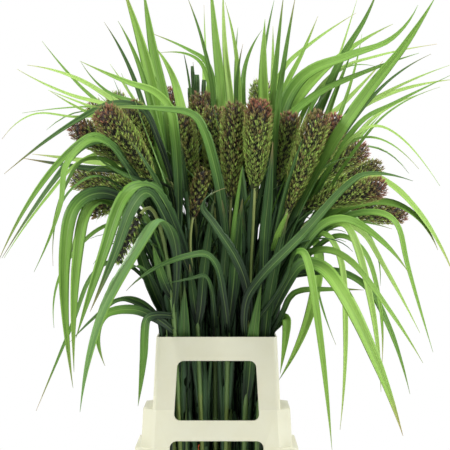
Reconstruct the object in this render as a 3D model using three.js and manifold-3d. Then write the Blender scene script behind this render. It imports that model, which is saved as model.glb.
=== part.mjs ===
// Foxtail millet, cut and stood in water in a slotted flower-trade holder.
// Millimetres, +Z up, the front towards -Y. The origin is the middle of the holder's flat underside.
// Every cut stem is one solid with its leaf blades, and its seed head is another.
import * as THREE from "three";
import { mergeVertices } from "three/addons/utils/BufferGeometryUtils.js";
import Module from "manifold-3d";

const wasm = await Module();
wasm.setup();

// Driving dimensions
const GAP = 0.3; // between pieces that rest on or in each other
const WALL = 2.5; // moulded plastic of the holder
const RIM_Z = 470; // top edge of the collar
const UPPER_STEP_Z = 357; // ledge between the collar's first and second tier
const LOWER_STEP_Z = 298; // ledge between its second and third tier
const FLANGE_Z = 170; // top of the bucket's flange, on which the collar stands
const FLANGE_THICK = 3;
const LIP_RISE = 8; // how far the bucket's wall stands up inside the collar
const FLOOR_THICK = 3;
const WATER_Z = 78; // water level
const SILL_DEPTH = 8; // how far a window's turned-in edge reaches inwards
const PAST = 5; // how far a cutting block runs past what it cuts
const CULM_R = 3.2; // radius of a stem at its foot
const NECK_R = 1.9; // radius of a stem under its head
const NARROW_Z = 294; // height at which a tied bunch is narrowest
const TIE_Z = 268; // middle of the elastic ties, below the narrowest place, where the stems hold them
const TIE_HEIGHT = 12;
const TIE_THICK = 1.4;
const TIE_GAP = 0.5; // the ties' corners cut across round stems, so they stand off a little more
const BLADE_THICK = 1.2; // at the midrib
const CLEARANCE = 0.45; // least distance between any two stems, blades or heads

// The layout is read off the photograph, 450 steps square, along sight lines from one viewpoint.
const EYE = new THREE.Vector3(13, -2300, 644);
const STEP_MM = 1.6; // size of one step in the plane y = 0
const MIDDLE_STEP = 225;

// The place at photograph step (u, v) that lies at depth y.
function place(u, v, y) {
  const reach = (STEP_MM * (y - EYE.y)) / -EYE.y;
  return new THREE.Vector3(EYE.x + (u - MIDDLE_STEP) * reach, y, EYE.z - (v - MIDDLE_STEP) * reach);
}

// Seeded random numbers from 0 to 1
let seed = 20417;
function random() {
  seed = (seed * 1664525 + 1013904223) % 4294967296;
  return seed / 4294967296;
}
const spread = (low, high) => low + (high - low) * random();

// From a closed three.js geometry to a solid, and back
function solidOf(geometry) {
  const bare = new THREE.BufferGeometry();
  const source = geometry.index ? geometry.toNonIndexed() : geometry;
  bare.setAttribute("position", source.getAttribute("position"));
  const merged = mergeVertices(bare, 1e-4);
  const mesh = new wasm.Mesh({
    numProp: 3,
    vertProperties: new Float32Array(merged.getAttribute("position").array),
    triVerts: new Uint32Array(merged.index.array),
  });
  return new wasm.Manifold(mesh);
}

function geometryOf(solid) {
  const mesh = solid.getMesh();
  const geometry = new THREE.BufferGeometry();
  geometry.setAttribute("position", new THREE.BufferAttribute(new Float32Array(mesh.vertProperties), 3));
  geometry.setIndex(new THREE.BufferAttribute(new Uint32Array(mesh.triVerts), 1));
  geometry.computeVertexNormals();
  return geometry;
}

// A closed skin over rings of points, each ring with as many points as the next.
// cross(ring, corner) says which diagonal splits a four-sided face, and the ends are fans.
function skin(rings, cross = () => false) {
  const corners = rings[0].length;
  const flat = [];
  const face = (a, b, c) => flat.push(...a.toArray(), ...b.toArray(), ...c.toArray());
  for (let r = 0; r + 1 < rings.length; r++) {
    for (let i = 0; i < corners; i++) {
      const j = (i + 1) % corners;
      const [a, b, c, d] = [rings[r][i], rings[r][j], rings[r + 1][j], rings[r + 1][i]];
      if (cross(r, i)) {
        face(a, b, d);
        face(b, c, d);
      } else {
        face(a, b, c);
        face(a, c, d);
      }
    }
  }
  const last = rings[rings.length - 1];
  for (let i = 1; i + 1 < corners; i++) {
    face(rings[0][0], rings[0][i + 1], rings[0][i]);
    face(last[0], last[i], last[i + 1]);
  }
  const geometry = new THREE.BufferGeometry();
  geometry.setAttribute("position", new THREE.Float32BufferAttribute(flat, 3));
  return geometry;
}

// Outline of a rectangle with round corners, anticlockwise, as [x, y] pairs
function roundedRectangle(width, depth, radius, arcSteps) {
  const outline = [];
  const middles = [
    [width / 2 - radius, depth / 2 - radius],
    [radius - width / 2, depth / 2 - radius],
    [radius - width / 2, radius - depth / 2],
    [width / 2 - radius, radius - depth / 2],
  ];
  middles.forEach(([x, y], quarter) => {
    for (let s = 0; s <= arcSteps; s++) {
      const angle = ((quarter + s / arcSteps) * Math.PI) / 2;
      outline.push([x + radius * Math.cos(angle), y + radius * Math.sin(angle)]);
    }
  });
  return outline;
}

// A tapered box between two heights, from [width, depth] below to [width, depth] above
function taperedBox(zLow, low, zHigh, high, radius, arcSteps) {
  const ring = ([width, depth], z) =>
    roundedRectangle(width, depth, radius, arcSteps).map(([x, y]) => new THREE.Vector3(x, y, z));
  return solidOf(skin([ring(low, zLow), ring(high, zHigh)]));
}

// A box with its corners cut off flat: cut is [along x, along y]
function chamferedBox(zLow, low, zHigh, high, cut) {
  const ring = ([width, depth], z) => {
    const [x, y, cx, cy] = [width / 2, depth / 2, width / 2 - cut[0], depth / 2 - cut[1]];
    const outline = [
      [x, cy],
      [cx, y],
      [-cx, y],
      [-x, cy],
      [-x, -cy],
      [-cx, -y],
      [cx, -y],
      [x, -cy],
    ];
    return outline.map(([px, py]) => new THREE.Vector3(px, py, z));
  };
  return solidOf(skin([ring(low, zLow), ring(high, zHigh)]));
}

// The holder's collar: three tiers, each wider than the one above, with windows in every side
const TIERS = {
  top: { zHigh: RIM_Z, high: [188, 134], zLow: UPPER_STEP_Z, low: [199, 142] },
  middle: { zHigh: UPPER_STEP_Z, high: [230, 142], zLow: LOWER_STEP_Z, low: [236, 147], cut: [22, 20] },
  bottom: { zHigh: LOWER_STEP_Z, high: [254, 152], zLow: FLANGE_Z + GAP, low: [262, 172] },
};
const CORNER_R = 9;
const CORNER_STEPS = 2;
const FRONT_WINDOWS = [
  { zLow: 340, zHigh: 433, lowWidth: 133, highWidth: 122 },
  { zLow: 214, zHigh: 309, lowWidth: 156, highWidth: 144 },
];
const SIDE_WINDOWS = [
  { zLow: 372, zHigh: 433, lowWidth: 78, highWidth: 73 },
  { zLow: 218, zHigh: 286, lowWidth: 92, highWidth: 86 },
];
const WINDOW_R = 10;
const WINDOW_STEPS = 2;
const WINDOW_REACH = 22; // how far the cut for a window runs in from the wall

function grown([width, depth], by) {
  return [width + 2 * by, depth + 2 * by];
}

// Outline of a window, wider below than above, with round corners, as [across, z] pairs
function windowOutline({ zLow, zHigh, lowWidth, highWidth }, by) {
  const outline = [];
  const radius = WINDOW_R + by;
  const corners = [
    [1, zHigh + by - radius, highWidth],
    [-1, zHigh + by - radius, highWidth],
    [-1, zLow - by + radius, lowWidth],
    [1, zLow - by + radius, lowWidth],
  ];
  corners.forEach(([side, z, width], quarter) => {
    const across = side * (width / 2 + by - radius);
    for (let s = 0; s <= WINDOW_STEPS; s++) {
      const angle = ((quarter + s / WINDOW_STEPS) * Math.PI) / 2;
      outline.push([across + radius * Math.cos(angle), z + radius * Math.sin(angle)]);
    }
  });
  return outline;
}

// A bar of the window's outline that runs through a wall, from `near` to `far` along the given axis
function windowBar(window, axis, near, far, by) {
  const outline = windowOutline(window, by);
  const ring = (reach) =>
    outline.map(([across, z]) =>
      axis === "y" ? new THREE.Vector3(across, reach, z) : new THREE.Vector3(reach, across, z),
    );
  const bar = [ring(near), ring(far)];
  return solidOf(skin(axis === "y" ? bar.reverse() : bar));
}

// The collar's outside as one block, or with a negative `by` the space inside it
function collarShell(by) {
  const { top, middle, bottom } = TIERS;
  const lowered = by < 0 ? WALL : 0; // the inside stops a wall's thickness under each ledge
  const raised = by < 0 ? PAST : 0; // and runs out past both open ends
  const first = taperedBox(
    top.zLow - lowered,
    grown(top.low, by),
    top.zHigh + raised,
    grown(top.high, by),
    CORNER_R + by,
    CORNER_STEPS,
  );
  const second = chamferedBox(
    middle.zLow - lowered,
    grown(middle.low, by),
    middle.zHigh - lowered,
    grown(middle.high, by),
    middle.cut,
  );
  const third = taperedBox(
    bottom.zLow - raised,
    grown(bottom.low, by),
    bottom.zHigh - lowered,
    grown(bottom.high, by),
    CORNER_R + by,
    CORNER_STEPS,
  );
  return first.add(second).add(third);
}

// Half the width or depth of the collar's outside where the foot of a window is
function wallReach({ zLow }, axis) {
  const tier = Object.values(TIERS).find((one) => zLow >= one.zLow);
  const share = (zLow - tier.zLow) / (tier.zHigh - tier.zLow);
  const k = axis === "y" ? 1 : 0;
  return (tier.low[k] + (tier.high[k] - tier.low[k]) * share) / 2;
}

// Each window's edge is turned in to a sill as deep as SILL_DEPTH, and then the window is cut through it
function collar() {
  const outside = collarShell(0);
  const sillDepth = outside.subtract(collarShell(-SILL_DEPTH));
  let shell = outside.subtract(collarShell(-WALL));
  const walls = [
    { windows: FRONT_WINDOWS, axis: "y" },
    { windows: SIDE_WINDOWS, axis: "x" },
  ];
  for (const { windows, axis } of walls) {
    for (const window of windows) {
      const outer = wallReach(window, axis) + PAST;
      const inner = outer - WINDOW_REACH;
      for (const side of [1, -1]) {
        const reaches = [side * inner, side * outer].sort((low, high) => low - high);
        const sill = windowBar(window, axis, ...reaches, WALL).intersect(sillDepth);
        shell = shell.add(sill).subtract(windowBar(window, axis, ...reaches, 0));
      }
    }
  }
  return shell;
}

// The bucket: a plain tapered tub with a flange for the collar and a lip inside the collar's foot
const BUCKET_TOP = [252, 162];
const BUCKET_FOOT = [232, 142];
const FLANGE = [270, 180];
const BUCKET_R = 14;

function bucket() {
  const top = FLANGE_Z + LIP_RISE;
  const body = taperedBox(0, BUCKET_FOOT, top, BUCKET_TOP, BUCKET_R, CORNER_STEPS);
  const flange = taperedBox(FLANGE_Z - FLANGE_THICK, FLANGE, FLANGE_Z, FLANGE, BUCKET_R, CORNER_STEPS);
  const [low, high] = [BUCKET_FOOT, BUCKET_TOP].map((plan) => grown(plan, -WALL));
  const hollow = taperedBox(FLOOR_THICK, low, top + PAST, high, BUCKET_R - WALL, CORNER_STEPS);
  return body.add(flange).subtract(hollow);
}

// Stems and heads, in three tied bunches, as [name, bunch, step across the rim and depth there,
// the head's two ends as [u, v, depth], the head's thickness].
const STEMS = [
  ["left_1", 0, [168, -46], [154, 180, -70], [87, 211, -100], 38],
  ["left_2", 0, [182, -44], [152, 178, -84], [100, 112, -122], 42],
  ["left_3", 0, [169, -15], [138, 168, -34], [72, 127, -62], 36],
  ["left_4", 0, [184, -12], [161, 180, -12], [128, 104, -36], 41],
  ["left_5", 0, [168, 16], [146, 192, 10], [72, 180, 30], 35],
  ["left_6", 0, [183, 20], [150, 166, 46], [113, 95, 84], 33],
  ["left_7", 0, [172, 46], [139, 166, 92], [92, 104, 140], 32],
  ["left_8", 0, [187, 46], [174, 170, 62], [166, 90, 92], 32],
  ["left_9", 0, [175, -57], [141, 214, -112], [116, 262, -136], 17],
  ["middle_1", 1, [198, -46], [193, 217, -62], [204, 170, -74], 23],
  ["middle_2", 1, [228, -44], [231, 197, -52], [234, 104, -62], 35],
  ["middle_3", 1, [200, -12], [192, 196, -18], [180, 112, -34], 36],
  ["middle_4", 1, [215, -14], [215, 192, -8], [213, 108, -20], 33],
  ["middle_5", 1, [203, 18], [200, 178, 22], [202, 94, 34], 38],
  ["middle_6", 1, [232, 16], [245, 196, 28], [247, 112, 48], 33],
  ["middle_7", 1, [206, 46], [212, 172, 62], [216, 92, 92], 32],
  ["middle_8", 1, [222, 48], [192, 176, 128], [178, 118, 190], 33],
  ["middle_9", 1, [218, 20], [234, 180, 92], [238, 112, 150], 33],
  ["right_1", 2, [248, -46], [255, 188, -70], [259, 101, -86], 38],
  ["right_2", 2, [264, -46], [288, 209, -66], [321, 113, -84], 38],
  ["right_3", 2, [250, -14], [277, 182, -22], [291, 114, -44], 32],
  ["right_4", 2, [266, -14], [299, 196, -22], [339, 117, -38], 38],
  ["right_5", 2, [250, 18], [258, 166, 18], [261, 82, 32], 33],
  ["right_6", 2, [266, 16], [297, 190, 20], [366, 150, 44], 36],
  ["right_7", 2, [256, 46], [302, 204, 70], [380, 168, 106], 34],
  ["right_8", 2, [268, 46], [326, 216, 92], [405, 216, 124], 32],
  ["right_9", 2, [267, -30], [306, 207, -56], [385, 188, -88], 35],
].map(([name, bunch, rim, base, tip, girth]) => ({ name, bunch, rim, base, tip, girth }));
const SQUEEZE = [0.8, 0.62]; // how much closer a bunch's stems stand where it is narrowest, along X and Y
const FOOT_SPREAD = 1.2; // and how much wider again at their feet
const RIM_STEP = 337; // the collar's rim in the photograph
const BUNCHES = ["left", "middle", "right"];
const BUNCH_MIDDLES = [176, 216, 259].map((u) => place(u, RIM_STEP, 0).x);
const BUNCH_NARROW = [-58, -1, 58]; // middles of the bunches where they are narrowest, along X
const CULM_SIDES = 5;
const BENDS = 4; // straight pieces of a stem above the rim
const RISE_HANDLE = 0.42; // how stiffly a stem goes on upwards at the rim, as a share of its rise
const LEAN_HANDLE = 0.3; // and how stiffly it runs into its head
const THIN_RISE = 250; // how far above the rim a stem is at its thinnest

// A stem's line: from its foot, through the narrow place and the rim, and over into its head
function culmLine({ bunch, rim, base, tip }) {
  const atRim = place(rim[0], RIM_STEP, rim[1]).setZ(RIM_Z);
  const [offX, offY] = [(atRim.x - BUNCH_MIDDLES[bunch]) * SQUEEZE[0], atRim.y * SQUEEZE[1]];
  const narrow = new THREE.Vector3(BUNCH_NARROW[bunch] + offX, offY, NARROW_Z);
  const foot = new THREE.Vector3(
    BUNCH_NARROW[bunch] + offX * FOOT_SPREAD,
    offY * FOOT_SPREAD,
    FLOOR_THICK + GAP,
  );
  const neck = place(...base);
  const lean = place(...tip).sub(neck).normalize();
  const rise = neck.distanceTo(atRim);
  const up = atRim.clone().sub(narrow).normalize();
  const over = new THREE.CubicBezierCurve3(
    atRim,
    atRim.clone().addScaledVector(up, rise * RISE_HANDLE),
    neck.clone().addScaledVector(lean, -rise * LEAN_HANDLE),
    neck,
  );
  return { foot, narrow, over, neck, lean };
}

// A round stem of few sides along a row of points, thinner towards its end
function culmSolid(points, endAlong) {
  const rings = points.map((point, i) => {
    const isEnd = i === points.length - 1;
    const along = i === 0 ? new THREE.Vector3(0, 0, 1) : endAlong.clone();
    if (i > 0 && !isEnd) along.subVectors(points[i + 1], points[i - 1]).normalize();
    const side = new THREE.Vector3(0, 1, 0).cross(along).normalize();
    const front = along.clone().cross(side);
    const share = Math.max(0, point.z - NARROW_Z) / (RIM_Z + THIN_RISE - NARROW_Z);
    const radius = CULM_R + (NECK_R - CULM_R) * Math.min(1, share);
    const ring = [];
    for (let s = 0; s < CULM_SIDES; s++) {
      const angle = (2 * Math.PI * s) / CULM_SIDES;
      ring.push(
        point
          .clone()
          .addScaledVector(side, radius * Math.cos(angle))
          .addScaledVector(front, radius * Math.sin(angle)),
      );
    }
    return ring;
  });
  return solidOf(skin(rings));
}

// A seed head: a spindle covered with clusters of spikelets, each a low pyramid that points to the tip
const HEAD_SIDES = 8;
const HEAD_RINGS = 10;
const HEAD_PROFILE = [0.34, 0.54, 0.7, 0.82, 0.91, 0.97, 1, 1, 0.95, 0.82];
const CLUSTER_RISE = 0.17; // how far a cluster stands out, as a share of the head's radius
const CLUSTER_SINK = 0.13; // and how far the hollow beside it lies back
const CLUSTER_FORWARD = 0.4; // how far its point leans to the tip, as a share of a ring's length
const HEAD_ARCH = 0.05; // how far a head bends, as a share of its length
const LAST_RING = 0.94; // where the last full ring of clusters stands along the head
const TIP_CLOSES = 0.8; // how far the rings then close in to the very tip
const HEAD_TURN = 0.15; // turns one head's clusters against the next head's

function headSolid({ base, tip, girth }, neck, lean) {
  const end = place(...tip);
  const start = neck.clone().addScaledVector(lean, GAP);
  const length = end.distanceTo(start);
  const droop = new THREE.Vector3(0, 0, -1).addScaledVector(lean, lean.z).multiplyScalar(
    length * HEAD_ARCH,
  );
  const middle = start.clone().add(end).multiplyScalar(0.5).sub(droop);
  const line = new THREE.QuadraticBezierCurve3(start, middle, end);
  const rings = [];
  for (let r = 0; r < HEAD_RINGS; r++) {
    const share = (r / (HEAD_RINGS - 1)) * LAST_RING;
    const point = line.getPoint(share);
    const along = r === 0 ? lean.clone() : line.getTangent(share);
    const side = new THREE.Vector3(0, 1, 0).cross(along).normalize();
    const front = along.clone().cross(side);
    const ring = [];
    for (let s = 0; s < HEAD_SIDES; s++) {
      const angle = (2 * Math.PI * (s + HEAD_TURN * base[0])) / HEAD_SIDES;
      const raised = (r + s) % 2 === 0;
      const relief = r === 0 ? 1 : raised ? 1 + CLUSTER_RISE : 1 - CLUSTER_SINK;
      const radius = (girth / 2) * HEAD_PROFILE[r] * relief;
      const forward = r > 0 && raised ? (length / HEAD_RINGS) * CLUSTER_FORWARD : 0;
      ring.push(
        point
          .clone()
          .addScaledVector(side, radius * Math.cos(angle))
          .addScaledVector(front, radius * Math.sin(angle))
          .addScaledVector(along, forward),
      );
    }
    rings.push(ring);
  }
  const toTip = rings[rings.length - 1].map((corner) => corner.clone().lerp(end, TIP_CLOSES));
  rings.push(toTip);
  return solidOf(skin(rings, (r, s) => (r + s) % 2 === 0));
}

// A leaf blade along a row of points: a shallow channel, thick at its midrib and sharp at its edges.
// Its first ring is sunk in the stem. Both faces are split alike, so a twisted blade never crosses itself.
const BLADE_SHAPE = [0.3, 0.62, 0.9, 1, 0.94, 0.76, 0.48];
const ROOT_HALF = 1.2; // half a blade's width where it is sunk in the stem
const FOLD = 0.22; // how far the edges stand up from the midrib, as a share of the half width
const UNDER_SHARE = 0.6; // of the blade's thickness lies below its middle line
const OVER_SHARE = 0.4;
const ROLL_START = 0.1; // a blade is already this much turned at its root, as a share of a half wave
const ROLL_SPEED = 1.3;
const BEND_STEPS = 40; // for finding where it bends
const BEND_WEIGHT = 0.35; // a bend of 1 radian counts as this share of the blade's length
const CARRY = 0.5; // how far a ring keeps to the direction of the one before, so that no piece turns over

function bladeWidthAt(share) {
  const at = share * BLADE_SHAPE.length;
  const low = Math.min(BLADE_SHAPE.length - 1, Math.floor(at));
  const lowValue = BLADE_SHAPE[low];
  const highValue = BLADE_SHAPE[low + 1] ?? 0;
  return lowValue + (highValue - lowValue) * (at - low);
}

// Where a blade's rings stand along its line: closer together where it bends
function ringShares(line, pieces) {
  const measure = [0];
  for (let i = 1; i <= BEND_STEPS; i++) {
    const [before, after] = [i - 1, i].map((k) => line.getTangentAt(k / BEND_STEPS));
    measure.push(measure[i - 1] + 1 / BEND_STEPS + BEND_WEIGHT * before.angleTo(after));
  }
  return Array.from({ length: pieces }, (_, ring) => {
    const wanted = (measure[BEND_STEPS] * ring) / pieces;
    const k = measure.findIndex((high, i) => i > 0 && high >= wanted);
    return (k - 1 + (wanted - measure[k - 1]) / (measure[k] - measure[k - 1])) / BEND_STEPS;
  });
}

function bladeSolid(points, width, face, roll, pieces, skipFirst = 0) {
  const line = new THREE.CatmullRomCurve3(points, false, "centripetal");
  const rings = [];
  const last = new THREE.Vector3(); // the direction across the ring before
  const shares = ringShares(line, pieces);
  for (let i = 0; i < pieces; i++) {
    const share = shares[i];
    const point = line.getPointAt(share);
    const along = line.getTangentAt(share);
    const across = along.clone().cross(face).normalize();
    if (i > 0) {
      const carried = last.addScaledVector(along, -last.dot(along)).normalize();
      if (across.dot(carried) < 0) across.negate();
      across.lerp(carried, CARRY).normalize();
    }
    last.copy(across);
    if (i < skipFirst) continue;
    const turned = Math.min(1, share * ROLL_SPEED + ROLL_START);
    across.applyAxisAngle(along, roll * Math.sin(Math.PI * turned));
    const up = across.clone().cross(along).normalize();
    const half = i === 0 ? ROOT_HALF : (width / 2) * bladeWidthAt(share);
    const corner = (aside, rise) => point.clone().addScaledVector(across, aside).addScaledVector(up, rise);
    rings.push([
      corner(-half, half * FOLD),
      corner(0, -BLADE_THICK * UNDER_SHARE),
      corner(half, half * FOLD),
      corner(0, BLADE_THICK * OVER_SHARE),
    ]);
  }
  const tip = line.getPointAt(1);
  const flat = [];
  const face3 = (a, b, c) => flat.push(...a.toArray(), ...c.toArray(), ...b.toArray());
  for (let r = 0; r + 1 < rings.length; r++) {
    const [left, under, right, over] = rings[r];
    const [left2, under2, right2, over2] = rings[r + 1];
    face3(left, under, under2);
    face3(left, under2, left2);
    face3(left, over2, over);
    face3(left, left2, over2);
    face3(right, under2, under);
    face3(right, right2, under2);
    face3(right, over, over2);
    face3(right, over2, right2);
  }
  const [left, under, right, over] = rings[rings.length - 1];
  face3(left, under, tip);
  face3(under, right, tip);
  face3(right, over, tip);
  face3(over, left, tip);
  const first = rings[0];
  face3(first[0], first[3], first[1]);
  face3(first[1], first[3], first[2]);
  const geometry = new THREE.BufferGeometry();
  geometry.setAttribute("position", new THREE.Float32BufferAttribute(flat, 3));
  return solidOf(geometry);
}

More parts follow.
